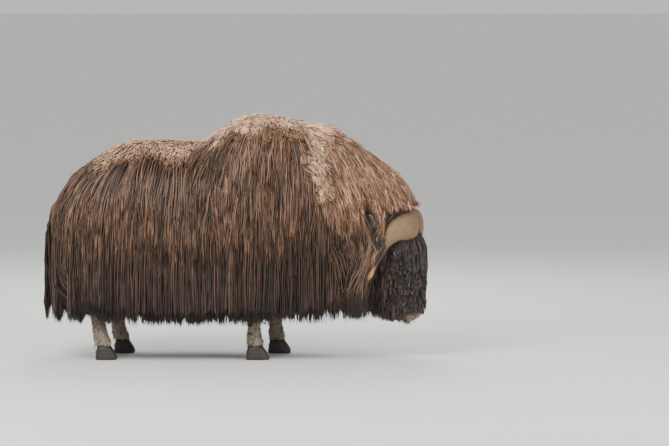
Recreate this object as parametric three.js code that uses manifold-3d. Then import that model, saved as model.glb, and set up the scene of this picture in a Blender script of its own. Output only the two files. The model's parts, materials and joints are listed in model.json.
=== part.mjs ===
// An adult muskox standing with its head lowered to drink, at life size.
// Millimetres: +X is forward, +Y the animal's left, +Z up, and the floor is z = 0.
import * as THREE from "three";
import { mergeVertices } from "three/addons/utils/BufferGeometryUtils.js";
import Module from "manifold-3d";

const wasm = await Module();
wasm.setup();

// Driving sizes
const gap = 0.3; // clearance between pieces that touch
const hem = 212; // lowest tips of the long coat above the floor
const headTurn = -18; // degrees about Z, towards the animal's right
const headTilt = 6; // degrees that the face leans forward of vertical
const poll = [905, -46, 830]; // top of the head, where the face axis starts
const trunkSides = 18;
const upperBulge = 2.15; // superellipse powers of the trunk's section
const lowerBulge = 2.5;

// Trunk and neck, a station every few centimetres: x, top, bottom, half width
const trunk = [
  [-1016, 800, 740, 24],
  [-1004, 862, 660, 108],
  [-965, 930, 590, 190],
  [-900, 1000, 540, 252],
  [-780, 1112, 495, 305],
  [-640, 1190, 470, 333],
  [-480, 1214, 455, 346],
  [-300, 1204, 446, 355],
  [-160, 1206, 446, 357],
  [-80, 1252, 450, 354],
  [10, 1308, 455, 347],
  [110, 1338, 463, 336],
  [230, 1332, 474, 321],
  [350, 1304, 490, 303],
  [470, 1266, 504, 276],
  [600, 1214, 520, 238],
  [710, 1138, 548, 200],
  [810, 1062, 600, 170],
  [890, 985, 680, 146],
  [940, 922, 760, 108],
  [958, 880, 815, 46],
];
const neckBend = { from: 300, to: 960, shift: -52 }; // the neck curves to the animal's right
const widestShare = 0.43; // height of the widest line, as a share of the section

// Cut lines between the body's parts, seen from the side: x, z from bottom to top
const loinCut = [
  [-480, -60],
  [-480, 1600],
];
const shoulderCut = [
  [480, -60],
  [455, 320],
  [392, 720],
  [380, 1000],
  [418, 1600],
];
const throatCut = [
  [700, -60],
  [700, 300],
  [700, 520],
  [700, 760],
  [716, 852],
  [1500, 886],
];

// Arithmetic helpers
function random(seed) {
  let state = seed;
  return () => {
    state = (state + 0x6d2b79f5) | 0;
    let t = Math.imul(state ^ (state >>> 15), 1 | state);
    t = (t + Math.imul(t ^ (t >>> 7), 61 | t)) ^ t;
    return ((t ^ (t >>> 14)) >>> 0) / 4294967296;
  };
}

// A smooth curve through the rows of a table, read at x.
function sample(table, x) {
  const last = table.length - 1;
  const at = Math.min(Math.max(x, table[0][0]), table[last][0]);
  let i = 0;
  while (i < last - 1 && at > table[i + 1][0]) i++;
  const a = table[i];
  const b = table[i + 1];
  const before = table[Math.max(i - 1, 0)];
  const after = table[Math.min(i + 2, last)];
  const span = b[0] - a[0];
  const t = (at - a[0]) / span;
  return a.slice(1).map((value, k) => {
    const c = k + 1;
    const slopeA = i ? (b[c] - before[c]) / (b[0] - before[0]) : (b[c] - a[c]) / span;
    const slopeB = i < last - 1 ? (after[c] - a[c]) / (after[0] - a[0]) : (b[c] - a[c]) / span;
    const t2 = t * t;
    const t3 = t2 * t;
    return (
      (2 * t3 - 3 * t2 + 1) * value +
      (t3 - 2 * t2 + t) * span * slopeA +
      (3 * t2 - 2 * t3) * b[c] +
      (t3 - t2) * span * slopeB
    );
  });
}

const power = (v, p) => Math.sign(v) * Math.abs(v) ** p;
const lerp = THREE.MathUtils.lerp;
const radians = THREE.MathUtils.degToRad;

// A closed solid from points and triangles, with its faces turned outwards.
function solidFrom(points, triangles) {
  const build = (faces) =>
    new wasm.Manifold(
      new wasm.Mesh({
        numProp: 3,
        vertProperties: new Float32Array(points.flat()),
        triVerts: new Uint32Array(faces.flat()),
      }),
    );
  const made = build(triangles);
  return made.volume() > 0 ? made : build(triangles.map(([a, b, c]) => [a, c, b]));
}

function solidOf(geometry, matrix) {
  const bare = geometry.clone();
  bare.deleteAttribute("normal");
  bare.deleteAttribute("uv");
  if (matrix) bare.applyMatrix4(matrix);
  const merged = mergeVertices(bare, 1e-3);
  const flat = merged.attributes.position.array;
  const points = [];
  for (let i = 0; i < flat.length; i += 3) points.push([flat[i], flat[i + 1], flat[i + 2]]);
  const triangles = [];
  const index = merged.index.array;
  for (let i = 0; i < index.length; i += 3) {
    const face = [index[i], index[i + 1], index[i + 2]];
    if (new Set(face).size === 3) triangles.push(face);
  }
  return solidFrom(points, triangles);
}

// A skin over rings of equally many points, closed by a fan at each end.
function loft(rings) {
  const n = rings[0].length;
  const points = rings.flat();
  const triangles = [];
  for (let r = 0; r + 1 < rings.length; r++) {
    for (let i = 0; i < n; i++) {
      const j = (i + 1) % n;
      const a = r * n;
      const b = a + n;
      triangles.push([a + i, a + j, b + j], [a + i, b + j, b + i]);
    }
  }
  const middle = (ring) => [0, 1, 2].map((k) => ring.reduce((sum, p) => sum + p[k], 0) / n);
  const first = points.length;
  points.push(middle(rings[0]), middle(rings[rings.length - 1]));
  const end = (rings.length - 1) * n;
  for (let i = 0; i < n; i++) {
    const j = (i + 1) % n;
    triangles.push([first, j, i], [first + 1, end + i, end + j]);
  }
  return solidFrom(points, triangles);
}

function largest(solid) {
  const parts = solid.decompose();
  return parts.reduce((best, part) => (part.volume() > best.volume() ? part : best));
}

const fuse = (solids) => solids.reduce((sum, piece) => sum.add(piece));

// A ball stretched to three radii, turned by a basis of three directions.
function ball(centre, radii, columns = 16, rows = 10, turn = new THREE.Matrix4()) {
  const matrix = new THREE.Matrix4()
    .makeTranslation(...centre)
    .multiply(turn)
    .multiply(new THREE.Matrix4().makeScale(...radii));
  return solidOf(new THREE.SphereGeometry(1, columns, rows), matrix);
}

// The whole body up to a cut line, as a thick plate seen from the side.
function territory(outline) {
  const shape = new THREE.Shape(outline.map(([x, z]) => new THREE.Vector2(x, z)));
  const halfDepth = 900;
  const plate = new THREE.ExtrudeGeometry(shape, { depth: 2 * halfDepth, bevelEnabled: false });
  plate.translate(0, 0, -halfDepth);
  return solidOf(plate, new THREE.Matrix4().makeRotationX(Math.PI / 2));
}

const shifted = (line, by) => line.map(([x, z], i) => [x + by, z - (i > 3 ? 2 * by : 0)]);
const far = 1800;
const behindLoin = territory([[-far, -60], ...shifted(loinCut, -gap / 2), [-far, far]]);
const middleBody = territory([
  ...shifted(loinCut, gap / 2),
  ...shifted(shoulderCut, -gap / 2).reverse(),
]);
const aroundNeck = territory([
  ...shifted(shoulderCut, gap / 2).reverse(),
  ...shifted(throatCut, -gap / 2),
  [1500, far],
]);
const aroundHead = territory([...shifted(throatCut, gap / 2).reverse(), [1500, -60]].reverse());

function halfSpace(side) {
  const box = new THREE.BoxGeometry(2 * far, far, 2 * far);
  box.translate(0, side * (far / 2 + gap / 2), far / 2);
  return solidOf(box);
}

// Trunk and neck
function trunkAt(x) {
  const [top, bottom, width] = sample(trunk, x);
  const share = Math.max(0, (x - neckBend.from) / (neckBend.to - neckBend.from));
  const y = neckBend.shift * share ** 1.6;
  return { top, bottom, width, y, middle: lerp(bottom, top, widestShare) };
}

function trunkSolid(growth = 0, reach = (bottom) => bottom) {
  const rings = [];
  trunk.forEach(([x], row) => {
    const { top, bottom, width, y, middle } = trunkAt(x);
    const low = reach(bottom, x);
    const grow = typeof growth === "function" ? growth(x) : growth;
    const lean = row === 0 ? -grow : row === trunk.length - 1 ? grow : 0;
    const ring = [];
    for (let i = 0; i < trunkSides; i++) {
      const angle = (2 * Math.PI * (i + 0.5)) / trunkSides;
      const up = Math.sin(angle) > 0;
      const p = 2 / (up ? upperBulge : lowerBulge);
      const rise = (up ? top - middle : middle - low) + grow;
      ring.push([
        x + lean,
        y + (width + grow) * power(Math.cos(angle), p),
        middle + rise * power(Math.sin(angle), p),
      ]);
    }
    rings.push(ring);
  });
  return loft(rings);
}

// The head, in its own axes: a runs down the face, d out of the forehead, l to the animal's right.
const headAxes = new THREE.Matrix4()
  .makeTranslation(...poll)
  .multiply(new THREE.Matrix4().makeRotationZ(radians(headTurn)))
  .multiply(
    new THREE.Matrix4().makeBasis(
      new THREE.Vector3(Math.sin(radians(headTilt)), 0, -Math.cos(radians(headTilt))),
      new THREE.Vector3(Math.cos(radians(headTilt)), 0, Math.sin(radians(headTilt))),
      new THREE.Vector3(0, -1, 0),
    ),
  );
const onHead = (a, d, l) => new THREE.Vector3(a, d, l).applyMatrix4(headAxes);
const placeOnHead = (solid) => solid.transform(headAxes.elements);

// Stations of the head: a, front, back, half width
const skull = [
  [-14, 30, -70, 50],
  [4, 62, -118, 96],
  [50, 84, -160, 126],
  [110, 98, -188, 138],
  [180, 112, -200, 142],
  [250, 120, -196, 136],
  [320, 116, -178, 122],
  [390, 106, -152, 107],
  [450, 98, -126, 97],
  [510, 90, -100, 92],
  [560, 80, -80, 86],
  [600, 60, -62, 74],
  [626, 34, -44, 52],
  [636, 10, -28, 26],
];
const skullSides = 16;
const skullBulge = 2.4;

function skullSolid(grow = 0) {
  return loft(
    skull.map(([a, front, back, width], row) => {
      const lean = row === 0 ? -grow : row === skull.length - 1 ? grow : 0;
      const centre = (front + back) / 2;
      const depth = (front - back) / 2 + grow;
      const ring = [];
      for (let i = 0; i < skullSides; i++) {
        const angle = (2 * Math.PI * (i + 0.5)) / skullSides;
        ring.push([
          a + lean,
          centre + depth * power(Math.sin(angle), 2 / skullBulge),
          (width + grow) * power(Math.cos(angle), 2 / skullBulge),
        ]);
      }
      return ring;
    }),
  );
}

// Eyes with their lids
const eye = { a: 246, d: -8, l: 134, radius: 21, lidRadius: 30, slitLength: 23, slitHeight: 12 };

const eyeBall = (side, grow = 0) =>
  ball([eye.a, eye.d, side * eye.l], Array(3).fill(eye.radius + grow), 10, 7);

function lidSolid(side) {
  return ball([eye.a, eye.d, side * (eye.l - 3)], [eye.lidRadius, eye.lidRadius + 7, eye.lidRadius], 9, 6);
}

function eyeSlit(side) {
  const outline = new THREE.Shape();
  outline.moveTo(-eye.slitLength, 0);
  outline.quadraticCurveTo(0, 2 * eye.slitHeight, eye.slitLength, 0);
  outline.quadraticCurveTo(0, -1.4 * eye.slitHeight, -eye.slitLength, 0);
  const slit = new THREE.ExtrudeGeometry(outline, { depth: 60, bevelEnabled: false, curveSegments: 3 });
  const turn = new THREE.Matrix4()
    .makeTranslation(eye.a, eye.d, side > 0 ? eye.l : -eye.l - 60)
    .multiply(new THREE.Matrix4().makeRotationZ(radians(72)));
  return solidOf(slit, turn);
}

// Brow ridges, lips, mouth and nostrils
function browSolid(side) {
  return ball([eye.a - 34, eye.d + 26, side * 102], [58, 48, 46], 9, 6);
}

function jawSolid() {
  const jaw = [
    [380, -70, -150, 70],
    [440, -62, -140, 66],
    [510, -56, -118, 58],
    [570, -50, -98, 50],
    [606, -46, -80, 38],
    [622, -50, -68, 20],
  ];
  return loft(
    jaw.map(([a, front, back, width]) =>
      Array.from({ length: 10 }, (_, i) => {
        const angle = (2 * Math.PI * (i + 0.5)) / 10;
        return [
          a,
          (front + back) / 2 + ((front - back) / 2) * Math.sin(angle),
          width * Math.cos(angle),
        ];
      }),
    ),
  );
}

const mouth = { corner: 500, height: 5 };

// A thin wedge that opens the line between the lips, deepest at the front.
function mouthCut() {
  const outline = [];
  const steps = 5;
  for (let i = 0; i <= steps; i++) {
    const a = lerp(mouth.corner, 650, i / steps);
    outline.push([a, -50 + 10 * Math.sin((Math.PI * i) / steps)]);
  }
  const shape = new THREE.Shape([
    ...outline.map(([a, d]) => new THREE.Vector2(a, d + mouth.height / 2)),
    ...outline.reverse().map(([a, d]) => new THREE.Vector2(a, d - mouth.height / 2)),
  ]);
  const cut = new THREE.ExtrudeGeometry(shape, { depth: 240, bevelEnabled: false });
  cut.translate(0, 0, -120);
  const core = ball([540, -50, 0], [76, 60, 70], 10, 6);
  return solidOf(cut).subtract(core);
}

function nostril(side) {
  const turn = new THREE.Matrix4().makeRotationFromEuler(new THREE.Euler(side * 0.5, 0, 0.35));
  return ball([604, 36, side * 50], [17, 13, 26], 8, 6, turn);
}

function nostrilRim(side) {
  return ball([598, 34, side * 44], [27, 25, 24], 8, 6);
}

// Horns: a flat boss at the midline that narrows down beside the cheek and hooks up.
// Stations from the midline: a, d, l, half height along the face, half thickness
const hornLine = [
  [92, 92, 5, 84, 34],
  [94, 92, 34, 86, 44],
  [98, 82, 70, 84, 50],
  [104, 60, 108, 76, 50],
  [118, 22, 144, 60, 44],
  [150, -30, 172, 46, 38],
  [204, -84, 192, 37, 34],
  [268, -128, 208, 31, 29],
  [324, -150, 226, 26, 24],
  [350, -146, 246, 21, 20],
  [340, -120, 262, 15, 15],
  [312, -96, 272, 9, 9],
  [286, -80, 277, 3, 3],
];
const hornSides = 10;

function hornSolid(side, grow = 0) {
  const centres = hornLine.map(([a, d, l]) => new THREE.Vector3(a, d, l));
  const rings = hornLine.map(([, , , high, thick], i) => {
    const before = centres[Math.max(i - 1, 0)];
    const after = centres[Math.min(i + 1, centres.length - 1)];
    const along = i ? after.clone().sub(before).normalize() : new THREE.Vector3(0, 0, 1);
    const outward = new THREE.Vector3(0.1, 1, 0.9);
    const across = new THREE.Vector3().crossVectors(along, outward).normalize();
    const out = new THREE.Vector3().crossVectors(across, along).normalize();
    const end = i === 0 ? -grow : i === centres.length - 1 ? grow : 0;
    return Array.from({ length: hornSides }, (_, k) => {
      const angle = (2 * Math.PI * (k + 0.5)) / hornSides;
      const p = centres[i]
        .clone()
        .addScaledVector(along, end)
        .addScaledVector(across, (high + grow) * power(Math.cos(angle), 0.85))
        .addScaledVector(out, (thick + grow) * power(Math.sin(angle), 0.85));
      return [p.x, p.y, side * p.z];
    });
  });
  return placeOnHead(loft(rings));
}

// Ears: half-hidden leaves behind the horns, each with its cup turned out and back.
const ear = { a: 74, d: -104, l: 196, length: 74, width: 38, thick: 17, lean: 30 };

function earShape(side, grow) {
  const turn = new THREE.Matrix4().makeRotationFromEuler(
    new THREE.Euler(0, side * -radians(ear.lean), radians(-12)),
  );
  const at = [ear.a, ear.d, side * ear.l];
  const shell = ball(at, [ear.length + grow, ear.width + grow, ear.thick + grow], 10, 6, turn);
  if (grow) return placeOnHead(shell);
  const cupAt = [ear.a + 8, ear.d - 4, side * (ear.l + 15)];
  const cup = ball(cupAt, [ear.length * 0.74, ear.width * 0.7, ear.thick * 0.95], 9, 5, turn);
  return placeOnHead(shell.subtract(cup));
}

// Legs: z, x offset, half length, half width, from inside the belly down to the pastern.
const foreLeg = [
  [640, 0, 96, 70],
  [520, 4, 88, 64],
  [430, 8, 68, 54],
  [350, 12, 52, 47],
  [300, 14, 54, 50],
  [250, 8, 45, 42],
  [180, 2, 38, 37],
  [125, 2, 44, 43],
  [96, 6, 48, 49],
  [72, 10, 50, 52],
];
const hindLeg = [
  [640, 40, 140, 80],
  [540, 46, 122, 74],
  [450, 20, 88, 62],
  [385, -22, 66, 50],
  [335, -42, 58, 47],
  [270, -34, 46, 42],
  [190, -20, 41, 38],
  [125, -8, 44, 42],
  [96, 0, 47, 46],
  [72, 4, 49, 49],
];
const legSides = 10;
// Where each hoof stands: x, y, and its half length and half width
const feet = {
  foreleg_right: [98, -176, 64, 30],
  foreleg_left: [214, 172, 64, 30],
  hindleg_right: [-742, -182, 58, 27],
  hindleg_left: [-664, 180, 58, 27],
};
const hoofHeight = 72;
const hoofSides = 8;

function legSolid(stations, x, y) {
  return loft(
    stations.map(([z, lean, long, wide]) =>
      Array.from({ length: legSides }, (_, i) => {
        const angle = (2 * Math.PI * i) / legSides;
        return [x + lean + long * Math.cos(angle), y + wide * Math.sin(angle), z];
      }),
    ),
  );
}

// Two claws, each a blunt wedge with its flat sole on the floor, joined at the heel.
function hoofSolid(x, y, long, wide) {
  const claw = (side) =>
    loft(
      [
        [0, 1, 1, 8],
        [10, 1.02, 1.04, 8],
        [40, 0.86, 0.92, 2],
        [hoofHeight - gap, 0.62, 0.86, -6],
      ].map(([z, alongShare, acrossShare, lean]) =>
        Array.from({ length: hoofSides }, (_, i) => {
          const angle = (2 * Math.PI * (i + 0.5)) / hoofSides;
          return [
            x + lean + long * alongShare * power(Math.cos(angle), 0.9),
            y + side * (wide * 0.93) + wide * acrossShare * power(Math.sin(angle), 0.9),
            z,
          ];
        }),
      ),
    );
  const heel = ball([x - long * 0.45, y, 40], [26, 30, 26], 8, 5);
  return largest(fuse([claw(1), claw(-1), heel]));
}

// Tail: short and broad, pressed to the rump. Stations: x, z, half width, half thickness
const tailLine = [
  [-950, 884, 34, 26],
  [-1024, 868, 40, 28],
  [-1072, 826, 42, 26],
  [-1090, 770, 38, 22],
  [-1094, 722, 24, 13],
];

function tailSolid(grow = 0) {
  return loft(
    tailLine.map(([x, z, wide, thick], i) => {
      const before = tailLine[Math.max(i - 1, 0)];
      const after = tailLine[Math.min(i + 1, tailLine.length - 1)];
      const along = new THREE.Vector2(after[0] - before[0], after[1] - before[1]).normalize();
      const end = i === 0 ? -grow : i === tailLine.length - 1 ? grow : 0;
      return Array.from({ length: 10 }, (_, k) => {
        const angle = (2 * Math.PI * k) / 10;
        const out = (thick + grow) * Math.sin(angle);
        return [
          x + along.x * end + along.y * out,
          (wide + grow) * Math.cos(angle),
          z + along.y * end - along.x * out,
        ];
      });
    }),
  );
}

// The long coat: flat tapered locks in tiers, each rooted in the body and drawn out to a tip.
const lockShares = [0, 0.2, 0.55, 0.85]; // where a lock's sections stand along its length
const lockWidths = [0.7, 1, 0.96, 0.62];
const lockDepths = [1, 1, 0.9, 0.7];
const lockThick = 15;
const rootDepth = 24; // how far a lock's root lies under the skin

// A point of the trunk's surface: x, side, and the angle up from its widest line.
function onTrunk(x, side, angle) {
  const { top, bottom, width, y, middle } = trunkAt(x);
  const p = 2 / (angle > 0 ? upperBulge : lowerBulge);
  const rise = angle > 0 ? top - middle : middle - bottom;
  return new THREE.Vector3(
    x,
    y + side * width * power(Math.cos(angle), p),
    middle + rise * power(Math.sin(angle), p),
  );
}

function trunkNormal(x, side, angle) {
  const e = 0.02;
  const along = onTrunk(x + 5, side, angle).sub(onTrunk(x - 5, side, angle));
  const round = onTrunk(x, side, angle + e).sub(onTrunk(x, side, angle - e));
  return new THREE.Vector3().crossVectors(along, round).multiplyScalar(side).normalize();
}

// The line of a lock over the body from one place to another, then down to the height of its tip.
function strand(side, [x1, angle1], [x2, angle2], tip) {
  const line = [];
  const steps = 8;
  for (let i = 0; i <= steps; i++) {
    const t = i / steps;
    const x = lerp(x1, x2, t);
    const angle = lerp(angle1, angle2, t);
    line.push({ at: onTrunk(x, side, angle), out: trunkNormal(x, side, Math.max(angle, 0.12)) });
  }
  const { at, out } = line[steps];
  const level = new THREE.Vector3(out.x, out.y, 0).normalize();
  for (let i = 1; tip !== undefined && i <= steps; i++) {
    const down = new THREE.Vector3(at.x, at.y, lerp(at.z, tip, i / steps));
    line.push({ at: down, out: level });
  }
  return line;
}

// Reads a line of points at a share of its length.
function readLine(line, share) {
  const lengths = [0];
  for (let i = 1; i < line.length; i++) {
    lengths.push(lengths[i - 1] + line[i].at.distanceTo(line[i - 1].at));
  }
  const wanted = Math.min(Math.max(share, 0), 1) * lengths[lengths.length - 1];
  let i = 1;
  while (i < line.length - 1 && lengths[i] < wanted) i++;
  const t = (wanted - lengths[i - 1]) / (lengths[i] - lengths[i - 1] || 1);
  return {
    at: line[i - 1].at.clone().lerp(line[i].at, t),
    out: line[i - 1].out.clone().lerp(line[i].out, t).normalize(),
  };
}

// One lock along a line: flat sections with a ridge, that rise off the body towards the tip.
function lock(line, width, lift, sway = 0) {
  const rings = lockShares.map((share, i) => {
    const { at, out } = readLine(line, share);
    const along = readLine(line, share + 0.05).at.sub(readLine(line, share - 0.05).at).normalize();
    const across = new THREE.Vector3().crossVectors(out, along).normalize();
    const rise = i ? lift * share ** 0.7 : -rootDepth;
    const centre = at.addScaledVector(out, rise).addScaledVector(across, sway * share ** 1.5);
    const half = (width / 2) * lockWidths[i];
    const deep = (lockThick / 2) * lockDepths[i];
    return [
      centre.clone().addScaledVector(across, half).addScaledVector(out, -deep),
      centre.clone().addScaledVector(out, deep),
      centre.clone().addScaledVector(across, -half).addScaledVector(out, -deep),
    ].map((p) => p.toArray());
  });
  const { at, out } = readLine(line, 1);
  const points = [...rings.flat(), at.addScaledVector(out, lift).toArray()];
  const last = 3 * (rings.length - 1);
  const triangles = [[0, 1, 2]];
  for (let i = 0; i < 3; i++) {
    const j = (i + 1) % 3;
    for (let a = 0; a < last; a += 3) {
      triangles.push([a + i, a + 3 + j, a + j], [a + i, a + 3 + i, a + 3 + j]);
    }
    triangles.push([last + i, points.length - 1, last + j]);
  }
  return solidFrom(points, triangles);
}

const overHindLeg = { from: -850, to: -650, rise: 95 }; // where the hem is shorter

function hemAt(x) {
  const middle = (overHindLeg.from + overHindLeg.to) / 2;
  const reach = (overHindLeg.to - overHindLeg.from) / 2;
  return hem + overHindLeg.rise * Math.max(0, 1 - ((x - middle) / reach) ** 2);
}

// Tiers from the hem to the back: angle of the roots, height of the tips above the hem,
// how far the roots lie behind the tips, and how far the tips stand off the body.
const tiers = [
  { angle: -0.1, tip: 0, behind: 0, lift: 14 },
  { angle: 0.26, tip: 130, behind: 20, lift: 30 },
  { angle: 0.7, tip: 330, behind: 50, lift: 40 },
  { angle: 1.28, tip: 540, behind: 70, lift: 46 },
];
const tipScatter = 26;
const liftStep = 15; // every other lock lies over its neighbours

// Rows of locks whose places run along one side of the body.
function lockRows(side, seed, width, places) {
  const draw = random(seed);
  const made = [];
  tiers.forEach((tier, row) => {
    places(row).forEach(([root, end], i) => {
      const tip = end[1] > 0.2 ? undefined : hemAt(end[0]) + tier.tip + tipScatter * draw();
      const line = strand(side, root, end, tip);
      const lift = tier.lift + liftStep * (i % 2);
      made.push(lock(line, width * (0.95 + 0.15 * draw()), lift, 16 * (draw() - 0.5)));
    });
  });
  return made;
}

// Flank: roots in rows along the body, with every other row half a lock further on.
function flankLocks(side, from, to, count, seed) {
  const pitch = (to - from) / count;
  return lockRows(side, seed, 1.22 * pitch, (row) => {
    const { angle, behind } = tiers[row];
    const some = row % 2 ? count - 1 : count;
    return Array.from({ length: some }, (_, i) => {
      const x = from + pitch * (i + 0.5 + (row % 2) / 2);
      return [[Math.min(to - 50, x + behind), angle], [x, 0]];
    });
  });
}

// Rump: locks that fan back from above the hips and fall round the corner of the hindquarters.
function rumpLocks(side, seed) {
  const ends = [-845, -930, -985, -1010];
  return lockRows(side, seed, 117, (row) =>
    ends.slice(0, row === 3 ? 3 : 4).map((x, i) => {
      const swing = [0, 40, 110, 190][row] * (0.5 + 0.16 * i);
      const root = Math.max(onTail(row, i) ? tiers[row].angle * 0.8 : tiers[row].angle, -0.1);
      return [[Math.max(x + swing, x), root], [x, 0]];
    }),
  );
}

const onTail = (row, i) => row > 1 && i > 2;

// Mane: rows that hang down the neck and chest, and a crest that reaches forward over the poll.
function maneLocks(side, seed) {
  const draw = random(seed);
  const made = lockRows(side, seed + 1, 108, (row) =>
    [445, 520, 595, 648].slice(0, row % 2 ? 3 : 4).map((x, i) => {
      const shift = row % 2 ? 34 : 0;
      return [[Math.max(430, x + shift - tiers[row].behind), tiers[row].angle], [x + shift, 0]];
    }),
  );
  for (const [x1, angle1, x2, angle2, lift] of [
    [440, 1.3, 600, 0.8, 30],
    [540, 1.32, 700, 0.85, 46],
    [640, 1.3, 790, 0.8, 34],
    [730, 1.25, 860, 0.8, 24],
    [470, 1.0, 640, 0.45, 44],
  ]) {
    const line = strand(side, [x1, angle1], [x2, angle2]);
    made.push(lock(line, 96 * (0.95 + 0.1 * draw()), lift, 14 * (draw() - 0.5)));
  }
  return made;
}

// Wool: rounded clumps set close along the hump.
function woolClumps(side, seed) {
  const draw = random(seed);
  return Array.from({ length: 5 }, (_, i) => {
    const at = onTrunk(lerp(-70, 330, i / 4), side, i % 2 ? 1.3 : 1.22);
    const size = 36 + 8 * draw();
    return ball(at.toArray(), [size * 1.1, size, size * 0.7], 6, 4);
  });
}

// Hair of the head: a tuft over the brow, a ruff behind the cheeks and a beard under the jaw.
function faceLock(places, width, lift, sway) {
  const line = places.map(([a, d, l, outD, outL]) => {
    const at = onHead(a, d, l);
    const out = onHead(a, d + outD, l + outL).sub(at).normalize();
    return { at, out };
  });
  return lock(line, width, lift, sway);
}

function headLocks(seed) {
  const draw = random(seed);
  const made = [];
  for (let i = 0; i < 5; i++) {
    const l = lerp(-62, 62, i / 4);
    const brow = [
      [176, 104, l, 1, l / 160],
      [230, 116, l * 1.08, 1, l / 160],
      [290, 117, l * 1.1, 1, l / 160],
      [352, 110, l * 0.95, 1, l / 160],
    ];
    made.push(faceLock(brow, 52, i % 2 ? 36 : 22, 10 * (draw() - 0.5)));
  }
  for (const side of [1, -1]) {
    for (let i = 0; i < 3; i++) {
      const a = 300 + 58 * i;
      const cheek = [
        [a, -110 + 12 * i, side * (108 - 10 * i), -0.4, side],
        [a + 90, -120 + 10 * i, side * (98 - 12 * i), -0.5, side],
        [a + 180, -118 + 6 * i, side * (78 - 12 * i), -0.6, side * 0.8],
        [Math.min(a + 255, 600), -110, side * (60 - 12 * i), -0.6, side * 0.6],
      ];
      made.push(faceLock(cheek, 74, 14 + 13 * (i % 2), 12 * (draw() - 0.5)));
    }
  }
  return made;
}

function tailLocks(seed) {
  const draw = random(seed);
  return [-1, 0, 1].map((k) => {
    const drop = 250 + 40 * draw();
    const line = [0, 1, 2, 3].map((i) => ({
      at: new THREE.Vector3(-1072 - 6 * i, k * (22 + 2 * i), 830 - (drop * i) / 3),
      out: new THREE.Vector3(-1, 0.3 * k, 0).normalize(),
    }));
    return lock(line, 40, k ? 4 : 14);
  });
}

function finish(name, solid, colour, roughness) {
  const mesh = solid.getMesh();
  const stride = mesh.numProp;
  const place = new Float32Array(mesh.numVert * 3);
  for (let i = 0; i < mesh.numVert; i++) {
    place.set(mesh.vertProperties.subarray(i * stride, i * stride + 3), i * 3);
  }
  const geometry = new THREE.BufferGeometry();
  geometry.setAttribute("position", new THREE.BufferAttribute(place, 3));
  geometry.setIndex(new THREE.BufferAttribute(new Uint32Array(mesh.triVerts), 1));
  const material = new THREE.MeshStandardMaterial({ color: colour, roughness, metalness: 0 });
  const made = new THREE.Mesh(geometry, material);
  made.name = name;
  return made;
}

// Assembly
const animal = new THREE.Group();
const add = (name, solid, colour, roughness = 0.85) => {
  animal.add(finish(name, largest(solid), colour, roughness));
};

const horns = [1, -1].map((side) => hornSolid(side));
const grownHorns = [1, -1].map((side) => hornSolid(side, gap));
const grownEars = [1, -1].map((side) => earShape(side, gap));
const eyes = [1, -1].map((side) => placeOnHead(eyeBall(side)));

const headParts = [skullSolid(), jawSolid()];
for (const side of [1, -1]) {
  headParts.push(browSolid(side), lidSolid(side), nostrilRim(side));
}
let headCore = fuse(headParts).subtract(mouthCut());
for (const side of [1, -1]) {
  headCore = headCore.subtract(eyeBall(side, gap)).subtract(eyeSlit(side)).subtract(nostril(side));
}
const wholeBody = trunkSolid().add(placeOnHead(headCore));

// What the coat has to stay clear of, and the share of the body that each piece may fill
const besideHead = fuse([...grownHorns, ...grownEars]);
const grownTail = tailSolid(gap);

const head = fuse([wholeBody.intersect(aroundHead), ...headLocks(5)]);
add("head", head.subtract(besideHead).intersect(aroundHead), 0x352b26);

const torsoSpan = [-480, 420];
for (const [side, word, seed] of [
  [1, "left", 11],
  [-1, "right", 12],
]) {
  const half = halfSpace(side);
  const neck = fuse([wholeBody.intersect(aroundNeck), ...maneLocks(side, seed + 40)]);
  add("neck_" + word, neck.subtract(besideHead).intersect(aroundNeck).intersect(half), 0x8a6248);
  const flank = [...flankLocks(side, ...torsoSpan, 6, seed), ...woolClumps(side, seed + 20)];
  const torso = fuse([wholeBody.intersect(middleBody), ...flank]);
  add("torso_" + word, torso.intersect(middleBody).intersect(half), 0x6b4e3a);
  const back = [...flankLocks(side, -790, -480, 3, seed + 62), ...rumpLocks(side, seed + 84)];
  const rear = fuse([wholeBody.intersect(behindLoin), ...back]);
  add("hindquarters_" + word, rear.subtract(grownTail).intersect(behindLoin).intersect(half), 0x5c4232);
}
[1, -1].forEach((side, i) => {
  const word = side > 0 ? "right" : "left";
  const other = grownHorns[1 - i];
  add("horn_" + word, side > 0 ? horns[i] : horns[i].subtract(other), 0xa08868, 0.55);
  const rooted = earShape(side, 0).subtract(grownHorns[i]).subtract(placeOnHead(skullSolid(gap)));
  add("ear_" + word, rooted, 0x241c18);
  add("eye_" + word, eyes[i], 0x1a1210, 0.1);
});

const bodyAround = trunkSolid(gap);
add("tail", fuse([tailSolid(), ...tailLocks(9)]).subtract(bodyAround), 0x3c2c24);
for (const [name, [x, y, long, wide]] of Object.entries(feet)) {
  const stations = name.startsWith("fore") ? foreLeg : hindLeg;
  add(name, legSolid(stations, x, y).subtract(bodyAround), 0xb5a48c);
  add("hoof_" + name.replace("leg", ""), hoofSolid(x + 12, y, long, wide), 0x2b2622, 0.6);
}

// The origin is the middle of the footprint of the whole animal.
const reach = new THREE.Box3().setFromObject(animal);
animal.position.set(-(reach.min.x + reach.max.x) / 2, -(reach.min.y + reach.max.y) / 2, 0);

export default animal;
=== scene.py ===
# A standing muskox with its head lowered to drink: one skin under a long coat, horns, eyes and hooves.
import json
import math

import bmesh
import bpy
import numpy as np
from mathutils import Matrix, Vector
from mathutils.bvhtree import BVHTree
from mathutils.kdtree import KDTree

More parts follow.
